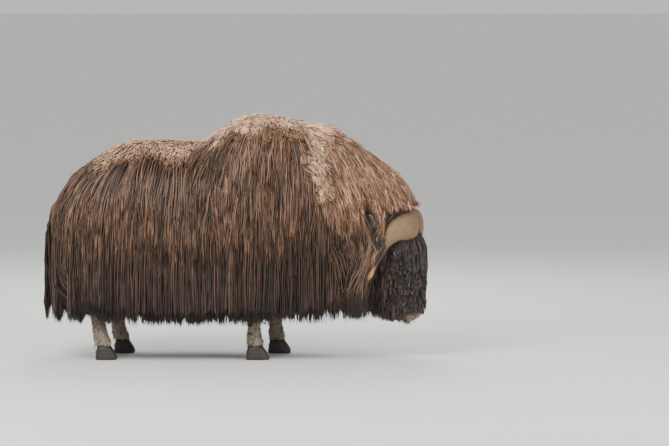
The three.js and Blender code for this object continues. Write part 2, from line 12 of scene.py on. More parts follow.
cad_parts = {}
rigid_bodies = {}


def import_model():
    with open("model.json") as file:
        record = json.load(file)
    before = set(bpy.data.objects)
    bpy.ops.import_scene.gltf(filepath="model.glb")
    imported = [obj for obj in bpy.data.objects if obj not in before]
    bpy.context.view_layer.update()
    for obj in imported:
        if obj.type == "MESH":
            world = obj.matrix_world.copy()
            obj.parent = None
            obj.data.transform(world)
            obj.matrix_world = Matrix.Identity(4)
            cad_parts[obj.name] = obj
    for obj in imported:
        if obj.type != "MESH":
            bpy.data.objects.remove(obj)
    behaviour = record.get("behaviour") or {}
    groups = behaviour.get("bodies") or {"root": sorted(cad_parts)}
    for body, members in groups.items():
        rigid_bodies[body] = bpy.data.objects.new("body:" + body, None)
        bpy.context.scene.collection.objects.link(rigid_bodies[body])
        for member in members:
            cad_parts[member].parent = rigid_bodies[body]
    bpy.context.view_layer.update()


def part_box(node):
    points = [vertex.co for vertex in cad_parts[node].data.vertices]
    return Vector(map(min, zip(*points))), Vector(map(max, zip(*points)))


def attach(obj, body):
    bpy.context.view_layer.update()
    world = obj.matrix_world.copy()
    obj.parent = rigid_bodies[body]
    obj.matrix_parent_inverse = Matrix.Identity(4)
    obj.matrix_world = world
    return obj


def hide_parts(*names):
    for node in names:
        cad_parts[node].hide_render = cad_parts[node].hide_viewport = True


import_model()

mm = 0.001

# The animal's own frame, in millimetres before it is centred: x forward, y to its left, z up.
pose = {
    "headTurn": -18.0,  # degrees towards the animal's right
    "headTilt": 6.0,
    "poll": (905.0, -46.0, 830.0),
    "upperBulge": 2.15,
    "lowerBulge": 2.5,
    "widestShare": 0.43,
    "neckBend": (300.0, 960.0, -52.0),
}

# x, top, bottom, half width of the body under its coat
trunkTable = np.array([
    [-1006, 800, 740, 22], [-996, 862, 660, 100], [-958, 930, 590, 180], [-895, 1000, 540, 242],
    [-780, 1100, 495, 295], [-640, 1178, 470, 323], [-480, 1203, 455, 336], [-300, 1194, 446, 345],
    [-160, 1196, 446, 347], [-80, 1242, 450, 344], [10, 1298, 455, 337], [110, 1328, 463, 326],
    [230, 1322, 474, 311], [350, 1294, 490, 293], [470, 1256, 504, 266], [600, 1204, 520, 230],
    [710, 1134, 548, 194], [810, 1058, 600, 166], [890, 981, 680, 140], [938, 918, 760, 104],
    [954, 876, 815, 42],
], float)

# a down the face, front, back and half width of the head
skullTable = np.array([
    [-12, 28, -68, 48], [5, 60, -115, 94], [50, 82, -158, 124], [110, 96, -186, 136],
    [180, 110, -198, 139], [250, 117, -193, 132], [320, 113, -175, 119], [390, 104, -150, 105],
    [450, 96, -124, 95], [510, 88, -99, 90], [560, 78, -79, 84], [600, 59, -61, 73],
    [625, 33, -43, 51], [635, 9, -27, 25],
], float)

jawTable = np.array([
    [380, -68, -148, 68], [440, -61, -138, 64], [510, -55, -117, 57], [570, -49, -97, 49],
    [606, -45, -80, 38], [622, -48, -68, 20],
], float)

# height, lean forward, half length and half width of each leg
foreLegTable = np.array([
    [640, 0, 92, 66], [520, 4, 84, 60], [430, 8, 64, 50], [350, 12, 49, 44], [300, 14, 52, 47],
    [250, 8, 42, 39], [180, 2, 35, 34], [125, 2, 42, 41], [96, 6, 46, 47], [74, 10, 46, 48],
], float)
hindLegTable = np.array([
    [640, 40, 136, 76], [540, 46, 118, 70], [450, 20, 84, 58], [385, -22, 62, 47], [335, -42, 55, 44],
    [270, -34, 43, 39], [190, -20, 38, 35], [125, -8, 42, 40], [96, 0, 45, 44], [74, 4, 45, 46],
], float)
feet = {  # where each hoof stands: x, y, half length, half width of a claw
    "fore_right": (98.0, -176.0, 64.0, 30.0),
    "fore_left": (214.0, 172.0, 64.0, 30.0),
    "hind_right": (-742.0, -182.0, 58.0, 27.0),
    "hind_left": (-664.0, 180.0, 58.0, 27.0),
}

eyeSettings = {"a": 246.0, "d": -8.0, "l": 134.0, "radius": 21.0}

# a, d, l, half height and half thickness along each horn, from the midline to the tip
hornTable = np.array([
    [92, 70, 5, 84, 34], [94, 70, 34, 86, 44], [98, 62, 70, 84, 50], [104, 44, 108, 76, 50],
    [118, 14, 144, 60, 44], [150, -30, 172, 46, 38], [204, -84, 192, 37, 34], [268, -128, 208, 31, 29],
    [324, -150, 226, 26, 24], [350, -146, 246, 21, 20], [340, -120, 262, 15, 15],
    [312, -96, 272, 9, 9], [286, -80, 277, 3, 3],
], float)


def headFrame():
    turn = math.radians(pose["headTurn"])
    tilt = math.radians(pose["headTilt"])
    level = np.array([[math.cos(turn), -math.sin(turn), 0], [math.sin(turn), math.cos(turn), 0], [0, 0, 1]])
    axes = np.array([
        [math.sin(tilt), math.cos(tilt), 0],
        [0, 0, -1],
        [-math.cos(tilt), math.sin(tilt), 0],
    ])
    return level @ axes


headAxes = headFrame()


def onHead(points):
    return np.atleast_2d(np.asarray(points, float)) @ headAxes.T + np.array(pose["poll"])


def toHead(points):
    return (np.atleast_2d(points) - np.array(pose["poll"])) @ headAxes


# The middle of the right eye and of the left one
def eyePlaces():
    return [onHead([eyeSettings["a"], eyeSettings["d"], s * eyeSettings["l"]])[0] for s in (1, -1)]


def fromEyes(points):
    return np.min([np.linalg.norm(points - place, axis=1) for place in eyePlaces()], axis=0)


# The frame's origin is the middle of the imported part, so the right eye's box gives the shift
def findShift():
    low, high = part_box("eye_right")
    seen = np.array((low + high) / 2) / mm
    place = eyePlaces()[0]
    return np.array([seen[0] - place[0], seen[1] - place[1], 0.0])


shift = findShift()
print("frame shift in millimetres", shift.round(1))


def toScene(points):
    return (np.atleast_2d(points) + shift) * mm


# Arithmetic
def power(values, exponent):
    return np.sign(values) * np.abs(values) ** exponent


def smoothStep(low, high, value):
    t = np.clip((value - low) / (high - low), 0, 1)
    return t * t * (3 - 2 * t)


def readTable(table, at):
    places = table[:, 0]
    at = np.clip(np.asarray(at, float), places[0], places[-1])
    i = np.clip(np.searchsorted(places, at) - 1, 0, len(places) - 2)
    slopes = np.gradient(table[:, 1:], places, axis=0)
    span = (places[i + 1] - places[i])[..., None]
    t = (at - places[i])[..., None] / span
    t2, t3 = t * t, t * t * t
    return (
        (2 * t3 - 3 * t2 + 1) * table[i, 1:]
        + (t3 - 2 * t2 + t) * span * slopes[i]
        + (3 * t2 - 2 * t3) * table[i + 1, 1:]
        + (t3 - t2) * span * slopes[i + 1]
    )


def unit(vectors):
    return vectors / np.maximum(np.linalg.norm(vectors, axis=-1, keepdims=True), 1e-9)


def linear(value):
    channels = [int(value[i:i + 2], 16) / 255 for i in (1, 3, 5)]
    return np.array([c / 12.92 if c <= 0.04045 else ((c + 0.055) / 1.055) ** 2.4 for c in channels])


def neckShift(x):
    start, end, shiftAcross = pose["neckBend"]
    return shiftAcross * np.clip((np.asarray(x, float) - start) / (end - start), 0, None) ** 1.6


# Meshes
def linked(name, data):
    made = bpy.data.objects.new(name, data)
    bpy.context.scene.collection.objects.link(made)
    return made


def makeObject(name, points, faces):
    mesh = bpy.data.meshes.new(name)
    mesh.from_pydata(points.tolist(), [], faces)
    mesh.update()
    return linked(name, mesh)


# The same for many triangles
def quickObject(name, points, faces):
    mesh = bpy.data.meshes.new(name)
    mesh.vertices.add(len(points))
    mesh.vertices.foreach_set("co", points.ravel())
    mesh.loops.add(faces.size)
    mesh.loops.foreach_set("vertex_index", np.ascontiguousarray(faces.ravel(), dtype=np.int32))
    mesh.polygons.add(len(faces))
    mesh.polygons.foreach_set("loop_start", np.arange(0, faces.size, 3, dtype=np.int32))
    mesh.update(calc_edges=True)
    mesh.polygons.foreach_set("use_smooth", np.ones(len(faces), dtype=bool))
    return linked(name, mesh)


def ringAngles(count):
    return np.arange(count) * 2 * math.pi / count


def loft(rings):
    count, sides = rings.shape[:2]
    faces = []
    for r in range(count - 1):
        for i in range(sides):
            j = (i + 1) % sides
            faces.append((r * sides + i, r * sides + j, (r + 1) * sides + j, (r + 1) * sides + i))
    points = np.vstack([rings.reshape(-1, 3), rings[0].mean(0), rings[-1].mean(0)])
    first = count * sides
    end = (count - 1) * sides
    for i in range(sides):
        j = (i + 1) % sides
        faces.append((first, j, i))
        faces.append((first + 1, end + i, end + j))
    return points, faces


def meshPoints(mesh):
    flat = np.empty(len(mesh.vertices) * 3)
    mesh.vertices.foreach_get("co", flat)
    return flat.reshape(-1, 3)


def ellipsoid(centre, radii, columns=24, rows=16):
    angles = np.linspace(0.02, math.pi - 0.02, rows)
    turns = ringAngles(columns)
    rings = np.array([
        [[radii[0] * math.cos(a), radii[1] * math.sin(a) * math.cos(t),
          radii[2] * math.sin(a) * math.sin(t)] for t in turns]
        for a in angles
    ])
    return loft(rings + np.array(centre))


def joined(parts):
    points, faces, start = [], [], 0
    for partPoints, partFaces in parts:
        points.append(partPoints)
        faces += [tuple(i + start for i in face) for face in partFaces]
        start += len(partPoints)
    return np.vstack(points), faces


def outwards(made):
    work = bmesh.new()
    work.from_mesh(made.data)
    bmesh.ops.remove_doubles(work, verts=work.verts, dist=1e-6)
    bmesh.ops.recalc_face_normals(work, faces=work.faces)
    work.to_mesh(made.data)
    work.free()
    made.data.polygons.foreach_set("use_smooth", [True] * len(made.data.polygons))
    return made


# How many rings each form of flesh has and how many sides; the head's also have a squareness, 1 for round
formRings = {
    "trunk": (110, 56), "skull": (70, 40, 0.84), "jaw": (34, 28, 1.0), "leg": (60, 28), "tail": (26, 20),
}


def trunkForm():
    stations, sides = formRings["trunk"]
    x = np.linspace(trunkTable[0, 0], trunkTable[-1, 0], stations)
    top, bottom, width = readTable(trunkTable, x).T
    middle = bottom + (top - bottom) * pose["widestShare"]
    angle = ringAngles(sides)
    upper = np.sin(angle) > 0
    p = np.where(upper, 2 / pose["upperBulge"], 2 / pose["lowerBulge"])
    across = power(np.cos(angle), p)
    rise = power(np.sin(angle), p)
    rings = np.empty((len(x), len(angle), 3))
    rings[:, :, 0] = x[:, None]
    rings[:, :, 1] = neckShift(x)[:, None] + width[:, None] * across
    reach = np.where(upper[None, :], (top - middle)[:, None], (middle - bottom)[:, None])
    rings[:, :, 2] = middle[:, None] + reach * rise
    return loft(rings)


# The skull or the jaw
def headForm(table, stations, sides, squareness):
    a = np.linspace(table[0, 0], table[-1, 0], stations)
    front, back, width = readTable(table, a).T
    angle = ringAngles(sides)
    deep = ((front - back) / 2)[:, None] * power(np.sin(angle), squareness)
    rings = np.empty((stations, sides, 3))
    rings[:, :, 0] = a[:, None]
    rings[:, :, 1] = ((front + back) / 2)[:, None] + deep
    rings[:, :, 2] = width[:, None] * power(np.cos(angle), squareness)
    points, faces = loft(rings)
    return onHead(points), faces


def headBulges():
    parts = []
    for side in (1, -1):
        eye = eyeSettings
        for centre, radii in (
            ((eye["a"] - 34, eye["d"] + 26, side * 100), (56, 46, 43)),  # brow
            ((eye["a"], eye["d"], side * (eye["l"] - 4)), (29, 35, 28)),  # lids
            ((596, 33, side * 43), (27, 25, 24)),  # nostril rims
            ((330, -40, side * 92), (95, 70, 34)),  # cheek bone
            ((556, -30, side * 60), (50, 42, 30)),  # lips
        ):
            points, faces = ellipsoid(centre, radii)
            parts.append((onHead(points), faces))
    return parts


earSettings = {
    "length": 72.0, "width": 36.0, "depth": 15.0, "lean": 30.0, "place": (74.0, -104.0, 196.0),
    "stations": 22, "sides": 28, "blunt": 0.7, "cupWidth": 0.62, "cupRise": 0.85, "cupDepth": 1.45,
}


def earForm(side):
    s = earSettings
    angle = ringAngles(s["sides"])
    hollow = s["cupRise"] * s["depth"] * np.exp(-((np.cos(angle) / s["cupWidth"]) ** 4))
    cup = np.where(np.sin(angle) > 0, hollow, 0)
    rings = []
    for t in np.linspace(0, 1, s["stations"]):
        half = s["width"] * math.sin(math.pi * min(0.97, 0.1 + 0.87 * t)) ** s["blunt"]
        along = np.full(s["sides"], (2 * t - 1) * s["length"])
        out = s["depth"] * np.sin(angle) - s["cupDepth"] * cup
        rings.append(np.stack([along, half * np.cos(angle), out], axis=1))
    points, faces = loft(np.array(rings))
    lean = math.radians(s["lean"])
    points[:, 2] *= side
    turned = points.copy()
    turned[:, 0] = points[:, 0] * math.cos(lean) + side * points[:, 2] * math.sin(lean)
    turned[:, 2] = points[:, 2] * math.cos(lean) - side * points[:, 0] * math.sin(lean)
    a, d, l = s["place"]
    return onHead(turned + np.array([a, d, side * l])), faces


def legForm(table, x, y):
    stations, sides = formRings["leg"]
    z = np.linspace(table[-1, 0], table[0, 0], stations)
    lean, long, wide = readTable(table[::-1], z).T
    angle = ringAngles(sides)
    rings = np.empty((len(z), len(angle), 3))
    rings[:, :, 0] = x + lean[:, None] + long[:, None] * np.cos(angle)
    rings[:, :, 1] = y + wide[:, None] * np.sin(angle)
    rings[:, :, 2] = z[:, None]
    return loft(rings)


# x, z, half width and half thickness along the tail
tailTable = np.array([[-940, 884, 30, 22], [-986, 868, 36, 24], [-1022, 826, 38, 22], [-1036, 772, 34, 18],
                      [-1042, 726, 22, 12]], float)


def tailAt(t):
    rows = len(tailTable)
    return np.array([np.interp(np.clip(t, 0, rows - 1), range(rows), column) for column in tailTable.T])


def tailForm():
    stations, sides = formRings["tail"]
    angle = ringAngles(sides)
    near = 0.2  # table rows on each side that give the tail's direction
    rings = []
    for t in np.linspace(0, len(tailTable) - 1, stations):
        x, z, wide, thick = tailAt(t)
        along = unit((tailAt(t + near) - tailAt(t - near))[:2])
        out = thick * np.sin(angle)
        rings.append(np.stack([x + along[1] * out, wide * np.cos(angle), z - along[0] * out], axis=1))
    return loft(np.array(rings))


skinSettings = {
    "voxel": 9.0, "smoothing": 4, "smoothFactor": 0.5,
    "fineCuts": 2, "fineReach": 48.0, "nostril": (604, 36, 46),  # finer faces round the eyes and nostrils
}


def makeSkin():
    parts = [trunkForm(), headForm(skullTable, *formRings["skull"]), headForm(jawTable, *formRings["jaw"]),
             tailForm(), *headBulges(), earForm(1), earForm(-1)]
    for name, (x, y, _, _) in feet.items():
        parts.append(legForm(foreLegTable if "fore" in name else hindLegTable, x, y))
    points, faces = joined(parts)
    rough = makeObject("skin_rough", points, faces)
    work = bmesh.new()
    work.from_mesh(rough.data)
    bmesh.ops.recalc_face_normals(work, faces=work.faces)
    work.to_mesh(rough.data)
    work.free()
    remesh = rough.modifiers.new("one surface", "REMESH")
    remesh.mode = "VOXEL"
    remesh.voxel_size = skinSettings["voxel"]
    remesh.adaptivity = 0
    soften = rough.modifiers.new("soften", "SMOOTH")
    soften.factor = skinSettings["smoothFactor"]
    soften.iterations = skinSettings["smoothing"]
    evaluated = rough.evaluated_get(bpy.context.evaluated_depsgraph_get())
    mesh = bpy.data.meshes.new_from_object(evaluated)
    bpy.data.objects.remove(rough)
    mesh.name = "skin"
    skin = linked("skin", mesh)
    refineHead(skin)
    return skin


def refineHead(skin):
    work = bmesh.new()
    work.from_mesh(skin.data)
    a, d, l = skinSettings["nostril"]
    places = eyePlaces() + [onHead([a, d, side * l])[0] for side in (1, -1)]
    for _ in range(skinSettings["fineCuts"]):
        edges = set()
        for face in work.faces:
            centre = np.array(face.calc_center_median())
            if any(np.linalg.norm(centre - place) < skinSettings["fineReach"] for place in places):
                edges.update(face.edges)
        bmesh.ops.subdivide_edges(work, edges=list(edges), cuts=1, use_grid_fill=True)
    bmesh.ops.triangulate(work, faces=[f for f in work.faces if len(f.verts) > 4])
    work.to_mesh(skin.data)
    work.free()
    carveFace(skin)


faceCuts = {
    "eyeReach": 48.0, "eyeInner": 45.0,  # how far from the eye's middle the lids are worked
    "almond": (24.0, 12.5), "almondLean": (0.95, 0.31), "socket": 26.0,
    "rim": 2.4, "rimEnd": 2.2, "fold": 2.2, "foldEnd": 3.6,
    "nostril": (604.0, 48.0), "nostrilSize": (15.0, 11.0), "nostrilCurl": 0.35, "nostrilDepth": 24.0,
    "gapeStart": 500.0, "gapeLength": 150.0, "gapeSag": 8.0, "gapeWidth": 4.5, "gapeDepth": 7.0,
}


def carveFace(skin):
    c = faceCuts
    mesh = skin.data
    local = toHead(meshPoints(mesh))
    a, d, l = local.T
    steep, level = c["almondLean"]
    for side in (1, -1):
        # the almond between the lids, pressed in behind the eye, and the folds round it
        u = (a - eyeSettings["a"]) * level + (d - eyeSettings["d"]) * steep
        v = (a - eyeSettings["a"]) * steep - (d - eyeSettings["d"]) * level
        near = (side * l > eyeSettings["l"] - c["eyeInner"]) & (np.hypot(u, v) < c["eyeReach"])
        almond = (u / c["almond"][0]) ** 2 + (v / c["almond"][1]) ** 2
        inside = near & (almond < 1)
        local[inside, 2] -= side * c["socket"] * (1 - almond[inside]) ** 0.35
        rim = near & (almond >= 1) & (almond < c["rimEnd"])
        rimShare = (almond[rim] - 1) / (c["rimEnd"] - 1)
        local[rim, 2] += side * c["rim"] * np.sin(math.pi * rimShare)
        fold = near & (almond >= c["rimEnd"]) & (almond < c["foldEnd"])
        foldShare = (almond[fold] - c["rimEnd"]) / (c["foldEnd"] - c["rimEnd"])
        local[fold, 2] -= side * c["fold"] * np.sin(math.pi * foldShare)
        # the comma of the nostril
        down = (a - c["nostril"][0]) / c["nostrilSize"][0]
        out = (l - side * c["nostril"][1]) / c["nostrilSize"][1]
        n = np.hypot(down, out - c["nostrilCurl"] * down)
        hole = (n < 1) & (d > 0)
        local[hole, 1] -= c["nostrilDepth"] * (1 - n[hole]) ** 0.5
    # the line between the lips
    gape = (a > c["gapeStart"]) & (np.abs(l) < 100)
    line = d + 50 - c["gapeSag"] * np.sin(math.pi * (a - c["gapeStart"]) / c["gapeLength"])
    press = c["gapeDepth"] * np.exp(-((line / c["gapeWidth"]) ** 2))
    press = press * smoothStep(c["gapeStart"], c["gapeStart"] + 30, a)
    centre = np.stack([a, np.full_like(a, -45.0), np.zeros_like(a)], axis=1)
    inward = unit(centre - local)
    local[gape] += inward[gape] * press[gape][:, None]
    mesh.vertices.foreach_set("co", onHead(local).ravel())
    mesh.update()


skin = makeSkin()
print("skin", len(skin.data.polygons), "faces")


# Which parts of the skin count as head, ear and leg
regions = {
    "earAt": (74, -104, 190), "earReach": (90, 60, 62), "behindCheek": (735, 845),
    "headSpan": (6, 660), "headBack": -215, "headRound": 1.9,
    "legTop": 445, "legInside": 290, "legFront": 420,
}


# Two slow waves keep the borders of the coat's parts from running straight
def unevenness(x, y):
    return 0.024 * np.sin(x / 64) + 0.016 * np.sin(x / 27 + y / 60)


# Where things lie on the animal, for the lie, the length and the colour of the coat
def describe(points):
    r = regions
    x, y, z = points.T
    a, d, l = toHead(points).T
    front, back, width = readTable(skullTable, a).T
    forward = (d - (front + back) / 2) / np.maximum((front - back) / 2, 1)
    roundness = forward ** 2 + (l / np.maximum(width, 1)) ** 2
    ear = np.ones(len(points), dtype=bool)
    for value, middle, reach in zip((a, d, np.abs(l)), r["earAt"], r["earReach"]):
        ear &= np.abs(value - middle) < reach
    behindCheek = (x > r["behindCheek"][0]) & (z < r["behindCheek"][1])
    onSkull = (roundness < r["headRound"]) & (d > r["headBack"])
    onSkull &= (a > r["headSpan"][0]) & (a < r["headSpan"][1])
    isHead = onSkull | ear | behindCheek
    top, bottom, _ = readTable(trunkTable, x).T
    middle = bottom + (top - bottom) * pose["widestShare"]
    rise = (z - middle) / np.maximum(top - middle, 1) + unevenness(x, y)
    isLeg = ~isHead & (z < r["legTop"]) & (np.abs(y - neckShift(x)) < r["legInside"]) & (x < r["legFront"])
    return {"x": x, "z": z, "a": a, "d": d, "l": l, "isHead": isHead, "isEar": ear & isHead,
            "isLeg": isLeg, "rise": rise, "side": np.where(y >= neckShift(x), 1.0, -1.0)}


def blend(base, tone, share):
    return base + (tone - base) * np.clip(share, 0, 1)[:, None]


# ridge: the hump top's pale wool, made paler still as painted rim light from behind; the seam's wool takes
# the same tone
palette = {
    "flank": "#664a38", "lower": "#46332a", "hem": "#1f1814", "rump": "#765843", "saddle": "#d2ab88",
    "shoulder": "#7f5f45", "ridge": "#e8c09c", "mane": "#a67d60", "maneLow": "#30251f", "face": "#453a33",
    "muzzle": "#a88a7a", "leg": "#a89a86", "hindLeg": "#857868", "paleEar": "#978a7e", "lid": "#4c3a31",
}
tones = {name: linear(value) for name, value in palette.items()}


# Where each tone begins and where it is full: along x, up z, or up the side from 0 to 1. The lid's is a
# distance from the eye, and the nose's are head measures.
zones = {
    "lowerZ": (620, 400), "hemZ": (360, 230),
    "shoulderRise": (0.15, 0.7), "shoulderX": (-120, 60), "rumpRise": (0.3, 0.85), "rumpX": (60, -300),
    "saddleRear": (-860, -640), "saddleFront": (0, -110), "saddleRise": (0.78, 0.92),
    "ridgeRear": (-180, -60), "ridgeFront": (560, 440), "ridgeRise": (0.9, 0.98), "seamRise": (0.1, 0.35),
    "maneX": (400, 500), "maneZ": (600, 800), "lowManeX": (330, 480), "lowManeZ": (720, 520),
    "foreLegX": (-200, 0), "lowLegZ": (240, 120), "lid": (42, 28), "noseA": (578, 600), "noseD": (-10, 12),
}
seamLine = {"x": 430.0, "halfWidth": 55.0}
strength = {"ridge": 0.9, "seam": 0.8, "seamInMane": 0.6, "lid": 0.8, "muzzle": 0.75}


def within(zone, value):
    return smoothStep(*zones[zone], value)


# The long hair has no pale wool in it, so its tones leave out the saddle, the ridge (pale wool with painted
# rim light) and the seam
def bodyMarkings(points, wool=True):
    w = describe(points)
    x, z, rise = w["x"], w["z"], w["rise"]
    colour = np.tile(tones["flank"], (len(points), 1))
    colour = blend(colour, tones["lower"], within("lowerZ", z))
    colour = blend(colour, tones["hem"], within("hemZ", z))
    colour = blend(colour, tones["shoulder"], within("shoulderRise", rise) * within("shoulderX", x))
    colour = blend(colour, tones["rump"], within("rumpRise", rise) * within("rumpX", x))
    seam = np.zeros(len(points))
    if wool:
        saddle = within("saddleRear", x) * within("saddleFront", x) * within("saddleRise", rise)
        colour = blend(colour, tones["saddle"], saddle)
        # the ridge: cream wool along the hump's top, partly its own pale colour and partly painted rim
        # light
        ridge = within("ridgeRear", x) * within("ridgeFront", x) * within("ridgeRise", rise)
        colour = blend(colour, tones["ridge"], strength["ridge"] * ridge)
        seam = np.exp(-(((x - seamLine["x"]) / seamLine["halfWidth"]) ** 2)) * within("seamRise", rise)
        colour = blend(colour, tones["ridge"], strength["seam"] * seam)
    mane = within("maneX", x) * within("maneZ", z) * (1 - strength["seamInMane"] * seam)
    colour = blend(colour, tones["mane"], mane)
    return blend(colour, tones["maneLow"], within("lowManeX", x) * within("lowManeZ", z))


earTuft = {"d": -104.0, "a": 56.0, "reach": 46.0}


def markings(points, wool=True):
    w = describe(points)
    x, z = w["x"], w["z"]
    colour = bodyMarkings(points, wool)
    leg = w["isLeg"]
    colour[leg] = blend(np.tile(tones["hindLeg"], (leg.sum(), 1)), tones["leg"],
                        np.maximum(within("foreLegX", x[leg]), within("lowLegZ", z[leg])))
    head = w["isHead"]
    colour[head] = tones["face"]
    inEar = w["isEar"] & (w["d"] > earTuft["d"]) & (np.abs(w["a"] - earTuft["a"]) < earTuft["reach"])
    colour[inEar] = tones["paleEar"]
    colour = blend(colour, tones["lid"], strength["lid"] * within("lid", fromEyes(points)))
    nose = within("noseA", w["a"]) * within("noseD", w["d"]) * head
    return blend(colour, tones["muzzle"], strength["muzzle"] * nose)


# Materials
def addNode(tree, kind, settings=None, links=None):
    node = tree.nodes.new(kind)
    for key, value in (settings or {}).items():
        if key in node.inputs:
            node.inputs[key].default_value = value
        else:
            setattr(node, key, value)
    for key, source in (links or {}).items():
        tree.links.new(source, node.inputs[key])
    return node


def startMaterial(name):
    material = bpy.data.materials.new(name)
    material.use_nodes = True
    tree = material.node_tree
    tree.nodes.clear()
    return material, tree


def finishMaterial(tree, finish, links=None):
    shader = addNode(tree, "ShaderNodeBsdfPrincipled", finish, links)
    addNode(tree, "ShaderNodeOutputMaterial", links={"Surface": shader.outputs["BSDF"]})


def rgba(value):
    return (*linear(value), 1.0)


def attribute(tree, name, output):
    return addNode(tree, "ShaderNodeAttribute", {"attribute_name": name}).outputs[output]


def objectPlace(tree):
    return addNode(tree, "ShaderNodeTexCoord").outputs["Object"]


def stretched(tree, source, scale):
    return addNode(tree, "ShaderNodeMapping", {"Scale": scale}, {"Vector": source}).outputs["Vector"]


def noise(tree, source, settings):
    return addNode(tree, "ShaderNodeTexNoise", settings, {"Vector": source}).outputs["Fac"]


# Spreads values between start and end over low to high
def spread(tree, source, low, high, start=0.0, end=1.0):
    limits = {"From Min": start, "From Max": end, "To Min": low, "To Max": high}
    return addNode(tree, "ShaderNodeMapRange", limits, {"Value": source}).outputs["Result"]


def scaled(tree, colour, share):
    links = {"Vector": colour, "Scale": share}
    return addNode(tree, "ShaderNodeVectorMath", {"operation": "SCALE"}, links).outputs["Vector"]


def bump(tree, source, strength, distance):
    relief = {"Strength": strength, "Distance": distance}
    return addNode(tree, "ShaderNodeBump", relief, {"Height": source}).outputs["Normal"]


def colourRamp(tree, source, first, last, between=()):
    ramp = addNode(tree, "ShaderNodeValToRGB", links={"Fac": source})
    stops = ramp.color_ramp.elements
    stops[0].color = rgba(first)
    stops[1].color = rgba(last)
    for place, colour in between:
        stops.new(place).color = rgba(colour)
    return ramp.outputs["Color"]


# Hair is keratin: coarse outer hairs with a dry, soft shine. Each tuft's colour carries painted shade,
# darkest at the root where the hairs shade each other, and turns a little paler towards the tip, where the
# hair is bleached
hairFinish = {"shade": (0.42, 1.16), "fleck": (0.72, 1.28, 0.3, 0.7), "detail": 3.0, "ior": 1.55}


def hairMaterial(name, roughness, grain):
    f = hairFinish
    material, tree = startMaterial(name)
    flecks = noise(tree, objectPlace(tree), {"Scale": 1000 / grain, "Detail": f["detail"]})
    share = addNode(tree, "ShaderNodeMath", {"operation": "MULTIPLY"})
    # painted shade: each tuft darkens towards its root; the paler tips are the hair's own bleaching
    tree.links.new(spread(tree, attribute(tree, "along", "Fac"), *f["shade"]), share.inputs[0])
    tree.links.new(spread(tree, flecks, *f["fleck"]), share.inputs[1])
    tone = scaled(tree, attribute(tree, "markings", "Color"), share.outputs[0])
    finishMaterial(tree, {"Roughness": roughness, "IOR": f["ior"]}, {"Base Color": tone})
    return material


# Skin under short hair: dull, with the hair's lie as fine bump
hideFinish = {
    "grain": 4.0, "detail": 4.0, "stretch": (1.0, 1.0, 0.18), "fleck": (0.35, 0.95), "bump": (0.7, 0.003),
    "roughness": 0.7, "ior": 1.5,
}


def skinMaterial():
    f = hideFinish
    material, tree = startMaterial("hide_short_haired")
    place = stretched(tree, objectPlace(tree), f["stretch"])
    strands = noise(tree, place, {"Scale": 1000 / f["grain"], "Detail": f["detail"]})
    tone = scaled(tree, attribute(tree, "markings", "Color"), spread(tree, strands, *f["fleck"]))
    finishMaterial(tree, {"Roughness": f["roughness"], "IOR": f["ior"]},
                   {"Base Color": tone, "Normal": bump(tree, strands, *f["bump"])})
    return material


# Horn: dry keratin, fibrous and chalky on the boss, worn smooth and amber towards the tip
hornFinish = {
    "stretch": (5.0, 46.0, 1.0), "fibres": {"Scale": 3.0, "Detail": 6.0, "Roughness": 0.65},
    "root": "#735a3c", "tip": "#2c231d",
    "between": ((0.34, "#866c4a"), (0.6, "#8f744f"), (0.86, "#cfa26a")),
    "fleck": (0.38, 1.45, 0.34, 0.66), "bump": (0.8, 0.003), "roughness": 0.5, "ior": 1.55,
}


def hornMaterial():
    f = hornFinish
    material, tree = startMaterial("horn_keratin_fibrous")
    grain = addNode(tree, "ShaderNodeUVMap", {"uv_map": "hornGrain"}).outputs["UV"]
    fibres = noise(tree, stretched(tree, grain, f["stretch"]), f["fibres"])
    colour = colourRamp(tree, attribute(tree, "along", "Fac"), f["root"], f["tip"], f["between"])
    tone = scaled(tree, colour, spread(tree, fibres, *f["fleck"]))
    finishMaterial(tree, {"Roughness": f["roughness"], "IOR": f["ior"]},
                   {"Base Color": tone, "Normal": bump(tree, fibres, *f["bump"])})
    return material


# Hoof: dark, dense keratin, scuffed and slightly banded by growth
hoofFinish = {
    "bands": {"Scale": 1000 / 24.0, "Distortion": 2.0, "Detail": 2.0, "bands_direction": "Z"},
    "dark": "#1c1815", "light": "#3a322b", "bump": (0.4, 0.001), "roughness": 0.55, "ior": 1.55,
}


def hoofMaterial():
    f = hoofFinish
    material, tree = startMaterial("hoof_keratin_scuffed")
    bands = addNode(tree, "ShaderNodeTexWave", f["bands"], {"Vector": objectPlace(tree)}).outputs["Fac"]
    finishMaterial(tree, {"Roughness": f["roughness"], "IOR": f["ior"]},
                   {"Base Color": colourRamp(tree, bands, f["dark"], f["light"]),
                    "Normal": bump(tree, bands, *f["bump"])})
    return material


# Eye: a wet, dark brown ball with the iris just paler than the pupil
eyeFinish = {
    "grain": 8.0, "dark": "#0c0807", "light": "#2a1710",
    "shine": {"Roughness": 0.05, "IOR": 1.38, "Coat Weight": 1.0, "Coat Roughness": 0.03},
}


def eyeMaterial():
    f = eyeFinish
    material, tree = startMaterial("eye_wet")
    flecks = noise(tree, objectPlace(tree), {"Scale": 1000 / f["grain"]})
    finishMaterial(tree, f["shine"], {"Base Color": colourRamp(tree, flecks, f["dark"], f["light"])})
    return material


def setPoints(mesh, name, values):
    layer = mesh.attributes.new(name, "FLOAT", "POINT")
    layer.data.foreach_set("value", np.ascontiguousarray(values, dtype=np.float32))


def setColours(mesh, values):
    layer = mesh.attributes.new("markings", "FLOAT_COLOR", "POINT")
    full = np.ones((len(values), 4), dtype=np.float32)
    full[:, :3] = values
    layer.data.foreach_set("color", full.ravel())


# The rings of growth end at "ridgeEnd" along the horn; "squareness" flattens its sections
hornSettings = {
    "stations": 90, "sides": 40, "ridge": 1.6, "ridges": 26, "ridgeEnd": 0.75, "squareness": 0.85,
    "upright": (0.1, 1.0, 0.9),
}


